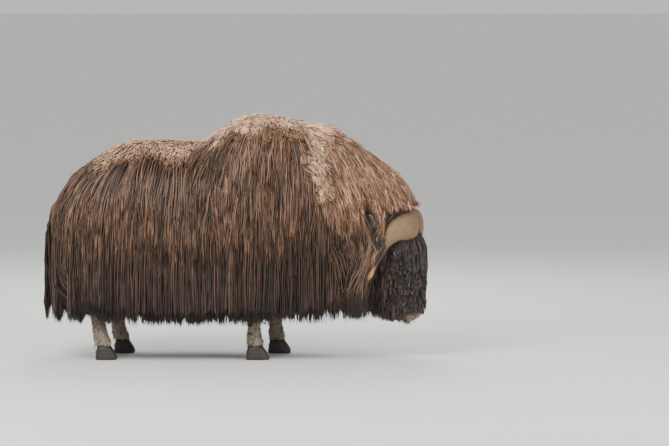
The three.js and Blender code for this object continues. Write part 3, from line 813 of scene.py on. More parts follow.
def hornForm(side):
    s = hornSettings
    last = len(hornTable) - 1
    fine = np.linspace(0, last, s["stations"])
    table = readTable(np.hstack([np.arange(last + 1)[:, None], hornTable]), fine)
    centres, high, thick = table[:, :3], table[:, 3], table[:, 4]
    along = unit(np.gradient(centres, axis=0))
    along[0] = (0, 0, 1)
    across = unit(np.cross(along, s["upright"]))
    out = unit(np.cross(across, along))
    angle = ringAngles(s["sides"])
    share = fine / last
    grown = (share < s["ridgeEnd"])[:, None]
    swell = 1 + s["ridge"] / 100 * np.sin(2 * math.pi * s["ridges"] * share)[:, None] * grown
    wide = high[:, None] * power(np.cos(angle), s["squareness"]) * swell
    deep = thick[:, None] * power(np.sin(angle), s["squareness"]) * swell
    rings = centres[:, None] + across[:, None] * wide[:, :, None] + out[:, None] * deep[:, :, None]
    rings[:, :, 2] *= side
    points, faces = loft(rings)
    return onHead(points), faces, np.concatenate([np.repeat(share, s["sides"]), [0.0, 1.0]])


# Places that long hair leaves free: a, d, l and how far round them
freeSpots = (
    (92, 92, 34, 66), (96, 88, 72, 68), (104, 62, 108, 62), (60, 70, 90, 52), (132, 84, 66, 48),  # boss
    (330, -120, 262, 26), (306, -92, 278, 34), (280, -76, 284, 38), (254, -62, 284, 36),  # horn tips
    (50, -96, 208, 44),  # ears
    (246, -8, 150, 40),  # eyes
)
freePlaces = [(onHead([a, d, side * l])[0], reach) for side in (1, -1) for a, d, l, reach in freeSpots]

# Boxes on both sides of the head that it leaves free: middle and reach in a, then in d, and the least l
freeBoxes = (
    (54, 56, -92, 30, 140),  # ears
    (252, 46, -10, 44, 136),  # eyes
    (100, 74, 43, 67, 96),  # sides of the boss
)
bareFace = {"a": (96, 660), "behindEdge": 12, "halfWidth": 300, "forehead": (20, 96, 30)}


def clearOf(paths, facesToo):
    a, d, l = toHead(paths[:, 1:].reshape(-1, 3)).T
    blocked = np.zeros(len(a), dtype=bool)
    for middleA, reachA, middleD, reachD, leastL in freeBoxes:
        blocked |= (np.abs(a - middleA) < reachA) & (np.abs(d - middleD) < reachD) & (np.abs(l) > leastL)
    if facesToo:
        start, end = bareFace["a"]
        beforeMane = d > maneEdge(a) + bareFace["behindEdge"]
        blocked |= (a > start) & (a < end) & beforeMane & (np.abs(l) < bareFace["halfWidth"])
        top, low, front = bareFace["forehead"]
        blocked |= (a > top) & (a <= low) & (d > front)
    keep = ~blocked.reshape(len(paths), -1).any(axis=1)
    for place, reach in freePlaces:
        away = np.linalg.norm(paths[:, 1:] - place, axis=2)
        keep &= away.min(axis=1) > reach
    return keep


# The skin's triangles, for roots and for keeping hair outside the body
def skinTriangles():
    mesh = skin.data
    mesh.calc_loop_triangles()
    index = np.empty(len(mesh.loop_triangles) * 3, dtype=np.int32)
    mesh.loop_triangles.foreach_get("vertices", index)
    return meshPoints(mesh), index.reshape(-1, 3)


skinPoints, skinFaces = skinTriangles()
skinTree = BVHTree.FromPolygons([Vector(p) for p in skinPoints], skinFaces.tolist())


# The left horn is mirrored, so its faces may need turning
def facingOut(points, faces):
    middle = points.mean(axis=0)
    volume = 0.0
    for face in faces:
        first, second, third = (points[face[k]] - middle for k in range(3))
        volume += np.dot(first, np.cross(second, third))
    return points, faces if volume > 0 else [tuple(reversed(face)) for face in faces]


corners = skinPoints[skinFaces]
faceCross = np.cross(corners[:, 1] - corners[:, 0], corners[:, 2] - corners[:, 0])
faceArea = np.linalg.norm(faceCross, axis=1) / 2
faceNormal = unit(faceCross)
faceMiddle = corners.mean(axis=1)
faceWhere = describe(faceMiddle)
print("skin area in square metres", round(faceArea.sum() / 1e6, 2))


def bodyTree(withHorns):
    parts = [(skinPoints, [tuple(f) for f in skinFaces[~faceWhere["isLeg"]].tolist()])]
    if withHorns:
        parts += [facingOut(*hornForm(side)[:2]) for side in (1, -1)]
    points, faces = joined(parts)
    return BVHTree.FromPolygons([Vector(p) for p in points], faces)


trunkTree = bodyTree(False)
hairTree = bodyTree(True)


def sampleRoots(weight, count, draw):
    share = weight * faceArea
    picked = draw.choice(len(share), size=count, p=share / share.sum())
    r1, r2 = np.sqrt(draw.random(count)), draw.random(count)
    c = corners[picked]
    points = (1 - r1)[:, None] * c[:, 0] + (r1 * (1 - r2))[:, None] * c[:, 1] + (r1 * r2)[:, None] * c[:, 2]
    return points, faceNormal[picked]


def nearestSkin(points, tree=skinTree):
    place = np.empty_like(points)
    normal = np.empty_like(points)
    for i, p in enumerate(points):
        hit, away, _, _ = tree.find_nearest(p)
        place[i] = hit
        normal[i] = away
    return place, normal


# The hem, and how it rises over the hind legs
hem = {"height": 188.0, "lift": 60.0, "at": -750.0, "reach": 100.0}


def hemHeight(x):
    overHindLeg = np.clip(1 - ((x - hem["at"]) / hem["reach"]) ** 2, 0, 1)
    return hem["height"] + hem["lift"] * overHindLeg


# The coat behind the rump: heights and the rearmost x that hair reaches there
rearOutline = np.array([[371, 595, 763, 892, 1032, 1155], [-1092, -1075, -1047, -991, -907, -767]], float)
rearGive = 0.12  # share of the way beyond it that hair may keep


def insideRear(points):
    limit = np.interp(points[:, 2], *rearOutline)
    behind = points[:, 0] < limit
    points[behind, 0] = limit[behind] + rearGive * (points[behind, 0] - limit[behind])
    return points


# How far forward the mane hangs beside the face, over the middle of the horn
maneFront = {
    "front": 14.0, "slope": 0.84, "start": 150.0, "reach": 190.0, "belowA": 90.0, "outsideL": 120.0,
}


def maneEdge(a):
    return maneFront["front"] - maneFront["slope"] * np.clip(a - maneFront["start"], 0, maneFront["reach"])


def besideFace(points, slack):
    a, d, l = toHead(points).T
    edge = maneEdge(a) - slack
    over = (a > maneFront["belowA"]) & (d > edge) & (np.abs(l) > maneFront["outsideL"])
    return onHead(np.stack([a, np.where(over, edge, d), l], axis=1))


# The lie of the coat: which way a hair leaves its root
lie = {
    "rumpward": (-380, -720), "neckward": (180, 520), "cheek": (60, 120),
    "back": (-0.25, -0.55, 1.75), "outward": (0.75, -0.3), "down": -0.9,
    "cheekOut": 0.35, "cheekBack": 0.5,
}


def lieOfCoat(points, normals):
    w = describe(points)
    rumpward = smoothStep(*lie["rumpward"], w["x"])
    neckward = smoothStep(*lie["neckward"], w["x"])
    back, backAtRump, backAtNeck = lie["back"]
    outward, outwardAtRump = lie["outward"]
    forward = back + backAtRump * rumpward + backAtNeck * neckward
    sideways = w["side"] * (outward + outwardAtRump * rumpward)
    way = np.stack([forward, sideways, np.full(len(points), lie["down"])], axis=1)
    way[w["isLeg"]] = (0.0, 0.0, -1.0)
    head = w["isHead"]
    downFace, forwards, outside = headAxes.T
    acrossFace = w["l"][head]
    cheek = smoothStep(*lie["cheek"], np.abs(acrossFace))[:, None]
    way[head] = (downFace + lie["cheekOut"] * np.sign(acrossFace)[:, None] * outside * cheek
                 - lie["cheekBack"] * forwards * cheek)
    return unit(way - normals * (way * normals).sum(1, keepdims=True))


# How every hair grows: its root's depth, how its height off the skin varies, and when it hangs free
growth = {
    "rootDepth": 4.0, "leastDepth": 0.15, "depthPower": 0.8, "rear": (-880, -1000),
    "slack": 110.0, "slackPower": 1.4, "hemPower": 1.5,
    "hangsBelow": 0.12, "steepestSide": -0.25, "hug": 0.8, "heavy": 0.2,
}


def growPaths(roots, normals, length, settings, draw):
    g = growth
    steps = settings["steps"]
    weight = settings["weight"]
    count = len(roots)
    start = unit(lieOfCoat(roots, normals) + settings["stray"] * draw.normal(size=(count, 3)))
    varied = g["leastDepth"] + (1 - g["leastDepth"]) * draw.random(count) ** g["depthPower"]
    depth = settings["depth"] * varied
    depth = depth * (1 + settings.get("rearDepth", 0) * smoothStep(*g["rear"], roots[:, 0]))
    paths = np.empty((count, steps + 1, 3))
    paths[:, 0] = roots - g["rootDepth"] * normals
    at = roots.copy()
    move = unit(start + settings["rise"] * normals)
    stride = (length / steps)[:, None]
    slack = g["slack"] * draw.random(count) ** g["slackPower"]
    lowest = hemHeight(roots[:, 0]) + settings["hemScatter"] * draw.random(count) ** g["hemPower"]
    down = np.array([0.0, 0.0, -1.0])
    for k in range(1, steps + 1):
        at = at + move * stride
        place, away = nearestSkin(at, settings.get("tree", skinTree))
        out = ((at - place) * away).sum(1)
        wanted = depth * (1 - (1 - k / steps) ** 2)
        hangs = away[:, 2] < g["hangsBelow"]
        beside = (away[:, 2] > g["steepestSide"]) & (at[:, 2] > settings.get("freeBelow", 0))
        pull = np.where(hangs & ~beside, np.maximum(wanted - out, 0), wanted - out)
        at = at + away * pull[:, None]
        if settings["toHem"]:
            at[:, 2] = np.maximum(at[:, 2], lowest)
        at = insideRear(at)
        if settings.get("offFace"):
            at = besideFace(at, slack)
        paths[:, k] = at
        ahead = unit(paths[:, k] - paths[:, k - 1])
        move = unit(ahead * (1 - weight) + down * weight)
        move = move - g["hug"] * (~hangs)[:, None] * away * (move * away).sum(1, keepdims=True)
        if weight > g["heavy"]:
            move[hangs, :2] *= settings["fallAway"]
        move = unit(move)
    return paths


def clumpPaths(paths, settings, draw):
    groups = max(1, int(len(paths) / settings["perClump"]))
    leaders = draw.choice(len(paths), size=groups, replace=False)
    tree = KDTree(groups)
    for i, leader in enumerate(leaders):
        tree.insert(paths[leader, 0], i)
    tree.balance()
    nearest = np.array([leaders[tree.find(p)[1]] for p in paths[:, 0]])
    t = np.linspace(0, 1, paths.shape[1])[None, :, None]
    spread = (paths[:, :1] - paths[nearest, :1]) * settings["tipSpread"]
    return paths + (paths[nearest] + spread - paths) * settings["clumping"] * t ** 1.2, nearest


def wavePaths(paths, settings, leaders, draw):
    count, rings = paths.shape[:2]
    lengths = np.linalg.norm(paths[:, -1] - paths[:, 0], axis=1)
    phases = draw.random(count) * 2 * math.pi
    phase = phases[leaders]
    t = np.linspace(0, 1, rings)[None, :]
    turns = (lengths / settings["waveLength"])[:, None]
    across = unit(np.cross(paths[:, -1] - paths[:, 0], [0.0, 0.0, 1.0]) + 1e-6)
    swing = settings["wave"] * t * np.sin(2 * math.pi * turns * t + phase[:, None])
    return paths + across[:, None, :] * swing[:, :, None]


# An unwrap of the skin's own shape: along and round the trunk, the head and the legs, each with its
# left edge, width, bottom edge and height on the sheet
sheet = {"body": (0.02, 0.66, 0.02, 0.96), "head": (0.7, 0.28, 0.02, 0.56), "leg": (0.7, 0.06, 0.62, 0.36)}
legStep = 0.07
tuftPatch = 0.003


def onSheet(part, across, up):
    left, width, bottom, height = sheet[part]
    return np.stack([left + width * across, bottom + height * up], axis=1)


def roundTurn(up, across):
    return np.arctan2(up, across) / (2 * math.pi) + 0.5


def unwrap(points):
    w = describe(points)
    x, y, z = points.T
    top, bottom, _ = readTable(trunkTable, x).T
    uv = onSheet("body", (x + 1110) / 2220, roundTurn(z - (top + bottom) / 2, y - neckShift(x)))
    head = w["isHead"]
    uv[head] = onSheet("head", roundTurn(w["l"], w["d"] + 40), np.clip((w["a"] + 40) / 700, 0, 1))[head]
    leg = w["isLeg"]
    which = ((x > -300) * 2 + (y > 0)).astype(int)
    order = ("hind_right", "hind_left", "fore_right", "fore_left")
    stands = np.array([feet[name][:2] for name in order])[which]
    onLeg = onSheet("leg", roundTurn(y - stands[:, 1], x - stands[:, 0]), np.clip(z / 500, 0, 1))
    onLeg[:, 0] += legStep * which
    uv[leg] = onLeg[leg]
    return uv


def bakeMap(mesh, roots, share, sideShare, allFaces, perTuft):
    each = np.stack([sideShare - 0.5, share - 0.5], axis=1) * tuftPatch
    perPoint = (unwrap(roots)[:, None, :] + each[None]).reshape(-1, 2)
    layer = mesh.uv_layers.new(name="OFBake")
    layer.data.foreach_set("uv", np.ascontiguousarray(perPoint[allFaces.ravel()], dtype=np.float32).ravel())


# A tuft is a three-sided spike: its profile's places along it, and how far its ridge stands up
tuft = {"places": (0, 0.3, 0.75, 1), "ridge": 0.34}


def tuftMesh(name, paths, width, roots, colours, tips, profile):
    count, rings = paths.shape[:2]
    body = rings - 1
    t = np.arange(body) / (rings - 1)
    along = unit(np.gradient(paths, axis=1))
    _, out = nearestSkin(roots)
    across = unit(np.cross(along, out[:, None, :]))
    lift = unit(np.cross(across, along))
    size = width[:, None] * np.interp(t, tuft["places"], profile)[None, :]
    size = size[:, :, None]
    centre = paths[:, :body]
    a, u = across[:, :body], lift[:, :body]
    corner = [centre + a * size / 2, centre + u * size * tuft["ridge"], centre - a * size / 2]
    section = np.stack(corner, axis=2)
    points = np.concatenate([section.reshape(count, -1, 3), paths[:, -1:]], axis=1)
    perTuft = 3 * body + 1
    faces = [[0, 1, 2]]
    for r in range(body - 1):
        for i in range(3):
            j = (i + 1) % 3
            faces.append([3 * r + i, 3 * r + 3 + j, 3 * r + j])
            faces.append([3 * r + i, 3 * r + 3 + i, 3 * r + 3 + j])
    last = 3 * (body - 1)
    for i in range(3):
        faces.append([last + i, perTuft - 1, last + (i + 1) % 3])
    faces = np.array(faces, dtype=np.int32)
    allFaces = (faces[None] + (np.arange(count) * perTuft)[:, None, None]).reshape(-1, 3)
    rootFace = np.cross(points[:, 1] - points[:, 0], points[:, 2] - points[:, 0])
    if np.median((rootFace * along[:, 0]).sum(1)) > 0:
        allFaces = allFaces[:, ::-1]
    made = quickObject(name, toScene(points.reshape(-1, 3)), allFaces)
    share = np.append(np.repeat(t, 3), 1.0)
    setPoints(made.data, "along", np.tile(share, count))
    fade = share[None, :, None]
    setColours(made.data, (colours[:, None] * (1 - fade) + tips[:, None] * fade).reshape(-1, 3))
    sideShare = np.append(np.tile([0.0, 0.5, 1.0], body), 0.5)
    bakeMap(made.data, roots, share, sideShare, allFaces, perTuft)
    return made


# How the tufts' tones and widths vary, unless a piece says otherwise
variety = {"streak": 0.24, "darkShare": 0.3, "dark": 0.42, "light": 1.1, "width": (0.7, 1.3)}


def makeCoat(name, area, settings, material):
    count = settings["count"]
    draw = np.random.default_rng(settings["seed"])
    roots, normals = sampleRoots(area, count, draw)
    length = draw.uniform(*settings["length"], count)
    if "lengthAt" in settings:
        length = settings["lengthAt"](length, describe(roots))
    paths = growPaths(roots, normals, length, settings, draw)
    paths, leaders = clumpPaths(paths, settings, draw)
    paths = wavePaths(paths, settings, leaders, draw)
    long = settings.get("fadeDown", False)
    streak = np.exp(draw.normal(size=count) * variety["streak"])
    isDark = draw.random(count) < settings.get("darkShare", variety["darkShare"])
    streak = streak * np.where(isDark, variety["dark"], variety["light"])
    lockShade = np.exp(draw.normal(size=count) * settings["lockShade"])[leaders]
    shade = (streak * lockShade)[:, None]
    colours = markings(roots, wool=not long) * shade
    tips = bodyMarkings(paths[:, -1], wool=False) * shade if long else colours
    width = settings["width"] * draw.uniform(*variety["width"], count)
    if settings.get("keepsClear"):
        keep = clearOf(paths, settings.get("offFace", False))
        paths, width, roots, colours, tips = (v[keep] for v in (paths, width, roots, colours, tips))
    piece = tuftMesh(name, paths, width, roots, colours, tips, settings["profile"])
    piece.data.materials.append(material)
    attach(piece, "root")
    print(name, len(piece.data.polygons), "faces")


longHair = hairMaterial("hair_guard_long", 0.5, 60.0)
woolHair = hairMaterial("hair_wool_matted", 0.8, 30.0)
shortHair = hairMaterial("hair_short_flat", 0.6, 40.0)

faceX, faceZ, faceRise, faceSide = (faceWhere[key] for key in ("x", "z", "rise", "side"))
faceA, faceD, faceL = faceWhere["a"], faceWhere["d"], np.abs(faceWhere["l"])
headFace = faceWhere["isHead"]
steepestBelly = -0.35
outer = ~headFace & ~faceWhere["isLeg"] & (faceNormal[:, 2] >= steepestBelly)


# An area faded along the body and up its side, by the zones its settings name
def over(area, settings):
    for key, value in (("rear", faceX), ("front", faceX), ("up", faceRise)):
        if key in settings:
            area = area * smoothStep(*settings[key], value)
    return area


# The saddle's plush, which no long hair covers
plush = over(1, {"rear": (-840, -700), "front": (-10, -120), "up": (0.8, 0.9)})

# Long guard hair, on flanks, rump and mane
toHem = {"below": 880.0, "slack": 1.05}
crest = {"x": (700, 800), "z": (820, 900), "cut": 0.6}


def flankLength(length, w):
    reach = toHem["slack"] * (w["z"] - hemHeight(w["x"]))
    return np.where(w["z"] < toHem["below"], np.maximum(length, reach), length)


def maneLength(length, w):
    onCrest = smoothStep(*crest["x"], w["x"]) * smoothStep(*crest["z"], w["z"])
    return flankLength(length, w) * (1 - crest["cut"] * onCrest)


longCoat = {
    "steps": 5, "length": (250.0, 520.0), "lengthAt": flankLength, "depth": 46.0, "rearDepth": -0.75,
    "rise": 0.15, "stray": 0.10, "weight": 0.34, "fallAway": 0.2, "freeBelow": 600.0, "tree": trunkTree,
    "toHem": True, "hemScatter": 70.0, "perClump": 9, "clumping": 0.6, "tipSpread": 0.2,
    "wave": 9.0, "waveLength": 260.0, "width": 7.5, "profile": (0.7, 1.0, 0.9, 0.5),
    "lockShade": 0.22, "fadeDown": True,
}
flankCoat = {
    **longCoat, "count": 6900, "seeds": {"right": 20, "left": 30},
    "rear": (-760, -640), "front": (520, 400),
}
rumpCoat = {**longCoat, "count": 6200, "seed": 41, "length": (180.0, 420.0), "front": (-620, -760)}
maneCoat = {
    **longCoat, "count": 6000, "seeds": {"right": 21, "left": 31}, "rear": (400, 500),
    "length": (220.0, 400.0), "lengthAt": maneLength, "depth": 50.0, "weight": 0.26, "fallAway": 0.6,
    "perClump": 8, "clumping": 0.68, "wave": 16.0, "waveLength": 130.0, "width": 7.0,
    "tree": hairTree, "keepsClear": True, "offFace": True,
}
for word, hand in (("right", -1.0), ("left", 1.0)):
    ours = outer & (faceSide == hand)
    makeCoat("coat_flank_" + word, over(ours, flankCoat) * (1 - plush),
             {**flankCoat, "seed": flankCoat["seeds"][word]}, longHair)
    makeCoat("coat_mane_" + word, over(ours, maneCoat),
             {**maneCoat, "seed": maneCoat["seeds"][word]}, longHair)
makeCoat("coat_rump", over(outer, rumpCoat) * (1 - plush), rumpCoat, longHair)

# Pale wool, on the saddle, on the hump and hanging in a seam behind the shoulder
woolCoat = {
    "steps": 4, "length": (60.0, 130.0), "depth": 34.0, "rise": 0.5, "stray": 0.35, "weight": 0.15,
    "fallAway": 0.5, "toHem": False, "hemScatter": 0.0, "perClump": 12, "clumping": 0.7, "tipSpread": 0.15,
    "wave": 9.0, "waveLength": 60.0, "width": 8.0, "profile": (0.8, 1.0, 0.9, 0.6),
    "lockShade": 0.16, "darkShare": 0.08,
}
saddleCoat = {
    **woolCoat, "count": 6200, "seed": 42, "rear": (-880, -760), "front": (60, -60), "up": (0.72, 0.84),
    "length": (34.0, 66.0), "depth": 24.0, "rise": 0.3, "stray": 0.3, "clumping": 0.15, "wave": 2.0,
    "width": 5.8, "lockShade": 0.08,
}
humpCoat = {
    **woolCoat, "count": 6200, "seed": 43, "rear": (-150, -40), "front": (600, 480), "up": (0.8, 0.95),
    "depth": 44.0, "wave": 13.0, "waveLength": 46.0,
}
seamCoat = {
    **woolCoat, "count": 3400, "seed": 47, "up": (0.05, 0.4), "length": (60.0, 120.0), "depth": 62.0,
    "wave": 14.0, "waveLength": 42.0, "at": 436.0, "bend": 26.0, "bendHeight": 55.0, "halfWidth": 36.0,
}
makeCoat("coat_saddle", over(outer, saddleCoat), saddleCoat, woolHair)
makeCoat("coat_hump", over(outer, humpCoat), humpCoat, woolHair)
seamMiddle = seamCoat["at"] - seamCoat["bend"] * np.sin(faceZ / seamCoat["bendHeight"])
nearSeam = np.exp(-(((faceX - seamMiddle) / seamCoat["halfWidth"]) ** 2))
makeCoat("coat_wool_seam", over(outer * nearSeam, seamCoat), seamCoat, woolHair)

# Shaggy hair on the cheeks, the throat and the temples
cheekShape = {
    "back": (0, -120), "jawBack": (-40, -110), "jawDown": (300, 420), "jaw": 0.9,
    "browFront": (40, 90), "browDown": (330, 250), "throat": (-120, -180),
    "least": 0.35, "backLong": 1.2, "browLong": 0.8,
    "frontD": -20, "noseA": 610, "shortest": 14, "perStep": 0.7,
    "waterline": 196, "leastReach": 20, "reachShare": 0.98, "stubble": 16,
}


def cheekLength(length, w):
    c = cheekShape
    a, d, z = w["a"], w["d"], w["z"]
    back = smoothStep(*c["back"], d)
    back = back + c["jaw"] * smoothStep(*c["jawBack"], d) * smoothStep(*c["jawDown"], a)
    brow = smoothStep(*c["browFront"], d) * smoothStep(*c["browDown"], a)
    own = length * (c["least"] + c["backLong"] * back + c["browLong"] * brow)
    towardsNose = c["shortest"] + c["perStep"] * np.maximum(c["noseA"] - a, 0)
    own = np.where(d > c["frontD"], np.minimum(own, towardsNose), own)
    reach = np.maximum(z - c["waterline"], c["leastReach"])
    own = own + (reach - own) * smoothStep(*c["throat"], d)
    return np.clip(own, c["stubble"], c["reachShare"] * reach)


shagCoat = {
    "steps": 5, "length": (60.0, 130.0), "depth": 20.0, "rise": 0.3, "stray": 0.16, "weight": 0.3,
    "fallAway": 0.5, "toHem": False, "hemScatter": 0.0, "perClump": 7, "clumping": 0.6, "tipSpread": 0.25,
    "wave": 6.0, "waveLength": 64.0, "width": 5.5, "profile": (0.7, 1.0, 0.9, 0.5), "lockShade": 0.36,
    "tree": hairTree, "keepsClear": True,
}
cheekCoat = {
    **shagCoat, "count": 5200, "seed": 44, "lengthAt": cheekLength,
    "a": (172, 572), "browA": 112, "browD": 80, "throatD": -110,
}
templeCoat = {
    **shagCoat, "count": 2000, "seed": 48, "offFace": True, "length": (120.0, 230.0), "depth": 26.0,
    "rise": 1.1, "weight": 0.22, "a": (20, 190), "d": (-150, -20), "l": 70,
}
eyeFree = 34.0  # millimetres round the eyes' middles without hair
nearEye = fromEyes(faceMiddle) < eyeFree
furred = headFace & ~faceWhere["isEar"]
browFace = (faceA > cheekCoat["browA"]) & (faceD > cheekCoat["browD"])
shag = (faceA > cheekCoat["a"][0]) | browFace | (faceD < cheekCoat["throatD"])
shag &= furred & (faceA < cheekCoat["a"][1]) & ~nearEye
makeCoat("coat_cheek", shag, cheekCoat, longHair)
temple = (faceA > templeCoat["a"][0]) & (faceA < templeCoat["a"][1]) & (faceL > templeCoat["l"])
temple &= (faceD > templeCoat["d"][0]) & (faceD < templeCoat["d"][1])
makeCoat("coat_temple", furred & temple, templeCoat, longHair)

# Short hair on the face and the legs
faceCoat = {
    "count": 4200, "seed": 45, "noseA": 582, "noseD": -6,
    "steps": 3, "length": (14.0, 30.0), "depth": 7.0, "rise": 0.25, "stray": 0.2, "weight": 0.05,
    "fallAway": 0.5, "toHem": False, "hemScatter": 0.0, "perClump": 4, "clumping": 0.3, "tipSpread": 0.6,
    "wave": 0.0, "waveLength": 60.0, "width": 3.6, "profile": (0.8, 1.0, 0.8, 0.5), "lockShade": 0.12,
}
legCoat = {**faceCoat, "count": 3600, "seed": 46, "length": (16.0, 34.0), "width": 4.0, "aboveHoof": 78}
bareNose = (faceA > faceCoat["noseA"]) & (faceD > faceCoat["noseD"])
makeCoat("coat_face", headFace & ~nearEye & ~bareNose, faceCoat, shortHair)
makeCoat("coat_legs", faceWhere["isLeg"] & (faceZ > legCoat["aboveHoof"]), legCoat, shortHair)

# Stiff bristles on the lips and below the nostrils
bristleSettings = {"Density": 9000.0, "Length": 0.024, "Thickness": 0.0007, "Seed": 11}
bristlePatch = {"a": 560, "d": (-84, 24)}


def bristleTree(material):
    tree = bpy.data.node_groups.new("bristles", "GeometryNodeTree")
    tree.interface.new_socket("Geometry", in_out="INPUT", socket_type="NodeSocketGeometry")
    for name in ("Density", "Length", "Thickness"):
        tree.interface.new_socket(name, in_out="INPUT", socket_type="NodeSocketFloat")
    tree.interface.new_socket("Seed", in_out="INPUT", socket_type="NodeSocketInt")
    tree.interface.new_socket("Geometry", in_out="OUTPUT", socket_type="NodeSocketGeometry")
    start = addNode(tree, "NodeGroupInput")
    scatter = addNode(tree, "GeometryNodeDistributePointsOnFaces",
                      links={"Mesh": start.outputs["Geometry"], "Density": start.outputs["Density"],
                             "Seed": start.outputs["Seed"]})
    cone = addNode(tree, "GeometryNodeMeshCone", {"Vertices": 4, "Radius Top": 0.00008},
                   {"Radius Bottom": start.outputs["Thickness"], "Depth": start.outputs["Length"]})
    sizes = addNode(tree, "FunctionNodeRandomValue",
                    {"data_type": "FLOAT_VECTOR", "Min": (0.8, 0.8, 0.4), "Max": (1.1, 1.1, 1.2)},
                    {"Seed": start.outputs["Seed"]})
    placed = addNode(tree, "GeometryNodeInstanceOnPoints",
                     links={"Points": scatter.outputs["Points"], "Instance": cone.outputs["Mesh"],
                            "Rotation": scatter.outputs["Rotation"], "Scale": sizes.outputs["Value"]})
    real = addNode(tree, "GeometryNodeRealizeInstances", links={"Geometry": placed.outputs["Instances"]})
    dressed = addNode(tree, "GeometryNodeSetMaterial", {"Material": material},
                      {"Geometry": real.outputs["Geometry"]})
    addNode(tree, "NodeGroupOutput", links={"Geometry": dressed.outputs["Geometry"]})
    return tree


# Bristle: stiff, smooth hair, paler than the fur round it.
def bristleMaterial():
    material, tree = startMaterial("bristle_keratin")
    finishMaterial(tree, {"Base Color": rgba("#8f8377"), "Roughness": 0.4, "IOR": 1.55})
    return material


def makeBristles():
    back, front = bristlePatch["d"]
    lips = headFace & (faceA > bristlePatch["a"]) & (faceD > back) & (faceD < front)
    used, index = np.unique(skinFaces[lips], return_inverse=True)
    patch = makeObject("lips", toScene(skinPoints[used]), [tuple(f) for f in index.reshape(-1, 3).tolist()])
    tree = bristleTree(bristleMaterial())
    modifier = patch.modifiers.new("bristles", "NODES")
    modifier.node_group = tree
    for item in tree.interface.items_tree:
        if item.in_out == "INPUT" and item.name in bristleSettings:
            modifier[item.identifier] = bristleSettings[item.name]
    evaluated = patch.evaluated_get(bpy.context.evaluated_depsgraph_get())
    mesh = bpy.data.meshes.new_from_object(evaluated)
    bpy.data.objects.remove(patch)
    mesh.name = "bristles_muzzle"
    made = linked("bristles_muzzle", mesh)
    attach(made, "root")
    print("bristles_muzzle", len(mesh.polygons), "faces")


makeBristles()

# The skin itself
setColours(skin.data, markings(skinPoints))
skin.data.vertices.foreach_set("co", toScene(skinPoints).ravel())
skin.data.polygons.foreach_set("use_smooth", [True] * len(skin.data.polygons))
skin.data.update()
skin.data.materials.clear()
skin.data.materials.append(skinMaterial())
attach(skin, "root")
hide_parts("torso_left", "torso_right", "hindquarters_left", "hindquarters_right", "neck_left",
            "neck_right", "head", "ear_left", "ear_right", "tail", "foreleg_left", "foreleg_right",
            "hindleg_left", "hindleg_right")


def makeHorn(side, material):
    points, faces, share = hornForm(side)
    word = "right" if side > 0 else "left"
    horn = makeObject("horn_sheath_" + word, toScene(points), faces)
    setPoints(horn.data, "along", share)
    layer = horn.data.uv_layers.new(name="hornGrain")
    sides = hornSettings["sides"]
    aroundHorn = np.abs(np.arange(sides) / sides - 0.5) * 2
    aroundHorn = np.append(np.tile(aroundHorn, hornSettings["stations"]), [0, 0])
    index = np.empty(len(horn.data.loops), dtype=np.int32)
    horn.data.loops.foreach_get("vertex_index", index)
    grain = np.stack([share, aroundHorn], axis=1)[index]
    layer.data.foreach_set("uv", grain.astype(np.float32).ravel())
    outwards(horn)
    horn.data.materials.append(material)
    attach(horn, "root")
    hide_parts("horn_" + word)


def makeEye(side, material):
    word = "right" if side > 0 else "left"
    points, faces = ellipsoid((eyeSettings["a"], eyeSettings["d"], side * eyeSettings["l"]),
                              [eyeSettings["radius"]] * 3, 40, 28)
    eye = makeObject("eyeball_" + word, toScene(onHead(points)), faces)
    outwards(eye)
    eye.data.materials.append(material)
    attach(eye, "root")
    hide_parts("eye_" + word)


# height, share of the length, share of the width and lean forward up each claw
hoofTable = np.array([
    [0, 0.97, 0.96, 8], [2, 1.0, 1.0, 8], [10, 1.02, 1.03, 8], [26, 0.95, 0.98, 6],
    [44, 0.84, 0.92, 2], [60, 0.72, 0.88, -2], [73, 0.62, 0.85, -6],
])
hoofSettings = {
    "sides": 40, "forward": 12, "apart": 0.93, "squareness": 0.9,
    "heel": (0.45, 38), "heelSize": (26, 30, 26),
}


def makeHoof(name, place, material):
    s = hoofSettings
    x, y, long, wide = place
    x = x + s["forward"]
    heights, longShare, wideShare, lean = hoofTable.T[:, :, None]
    angle = ringAngles(s["sides"])
    parts = []
    for hand in (1, -1):
        middle = y + hand * wide * s["apart"]
        rings = np.empty((len(hoofTable), s["sides"], 3))
        rings[:, :, 0] = x + lean + long * longShare * power(np.cos(angle), s["squareness"])
        rings[:, :, 1] = middle + wide * wideShare * power(np.sin(angle), s["squareness"])
        rings[:, :, 2] = heights
        parts.append(loft(rings))
    heelBack, heelHeight = s["heel"]
    parts.append(ellipsoid((x - long * heelBack, y, heelHeight), s["heelSize"]))
    points, faces = joined(parts)
    hoof = makeObject("hoof_" + name + "_shell", toScene(points), faces)
    outwards(hoof)
    hoof.data.materials.append(material)
    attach(hoof, "root")
    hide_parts("hoof_" + name)


hornLook, eyeLook, hoofLook = hornMaterial(), eyeMaterial(), hoofMaterial()
for side in (1, -1):
    makeHorn(side, hornLook)
    makeEye(side, eyeLook)
for name, place in feet.items():
    makeHoof(name, place, hoofLook)
print("horns, eyes and hooves")


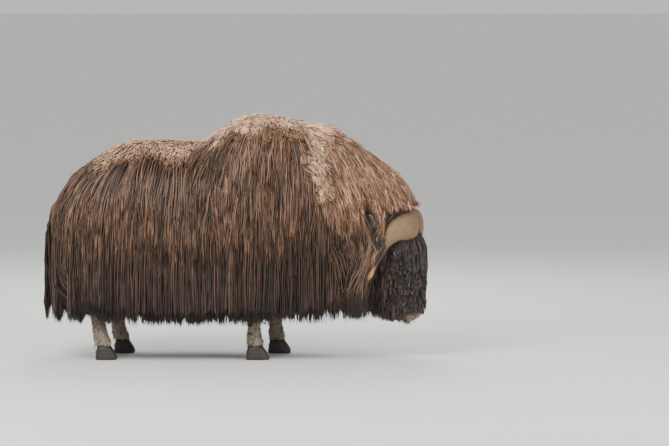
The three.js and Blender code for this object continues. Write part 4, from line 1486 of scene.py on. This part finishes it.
# Stage: a pale floor, soft light and the camera
view = {
    "aim": (546.0, 0.0, 746.0), "elevation": 4.0, "distance": 18000.0, "frameWidth": 3746.0, "sensor": 36.0,
    "floorHalf": 400.0, "floorZ": -0.001,  # in metres
}


def makeStage():
    material, tree = startMaterial("floor_matt_paint")
    finishMaterial(tree, {"Base Color": rgba("#eceae6"), "Roughness": 0.85})
    half, z = view["floorHalf"], view["floorZ"]
    corners = np.array([[-half, -half, z], [half, -half, z], [half, half, z], [-half, half, z]])
    floor = makeObject("floor", corners, [(0, 1, 2, 3)])
    floor.data.materials.append(material)
    world = bpy.data.worlds.new("soft sky")
    world.use_nodes = True
    world.node_tree.nodes["Background"].inputs["Color"].default_value = rgba("#d6d8da")
    world.node_tree.nodes["Background"].inputs["Strength"].default_value = 1.0
    bpy.context.scene.world = world
    for name, place, size, energy in (
        ("key light", (-2.5, -4.5, 5.0), 3.5, 420.0),
        ("fill light", (4.5, -3.5, 3.0), 3.0, 150.0),
        ("back light", (0.0, 4.5, 4.5), 3.0, 220.0),
    ):
        light = bpy.data.lights.new(name, "AREA")
        light.energy = energy
        light.size = size
        lamp = linked(name, light)
        lamp.location = place
        lamp.rotation_euler = (Vector((0, 0, 0.7)) - Vector(place)).to_track_quat("-Z", "Y").to_euler()


def makeCamera():
    aim = toScene(np.array(view["aim"]))[0]
    tilt = math.radians(view["elevation"])
    distance = view["distance"] * mm
    camera = bpy.data.cameras.new("camera")
    camera.sensor_width = view["sensor"]
    camera.lens = view["sensor"] * view["distance"] / view["frameWidth"]
    camera.clip_end = 1000.0
    holder = linked("camera", camera)
    holder.location = aim + np.array([0, -distance * math.cos(tilt), distance * math.sin(tilt)])
    holder.rotation_euler = (math.pi / 2 - tilt, 0, 0)
    bpy.context.scene.camera = holder


makeStage()
makeCamera()
print("stage")

total = 0
for made in bpy.data.objects:
    if made.type == "MESH" and made.name != "floor":
        made.data.calc_loop_triangles()
        total += len(made.data.loop_triangles)
print("triangles in all", total)
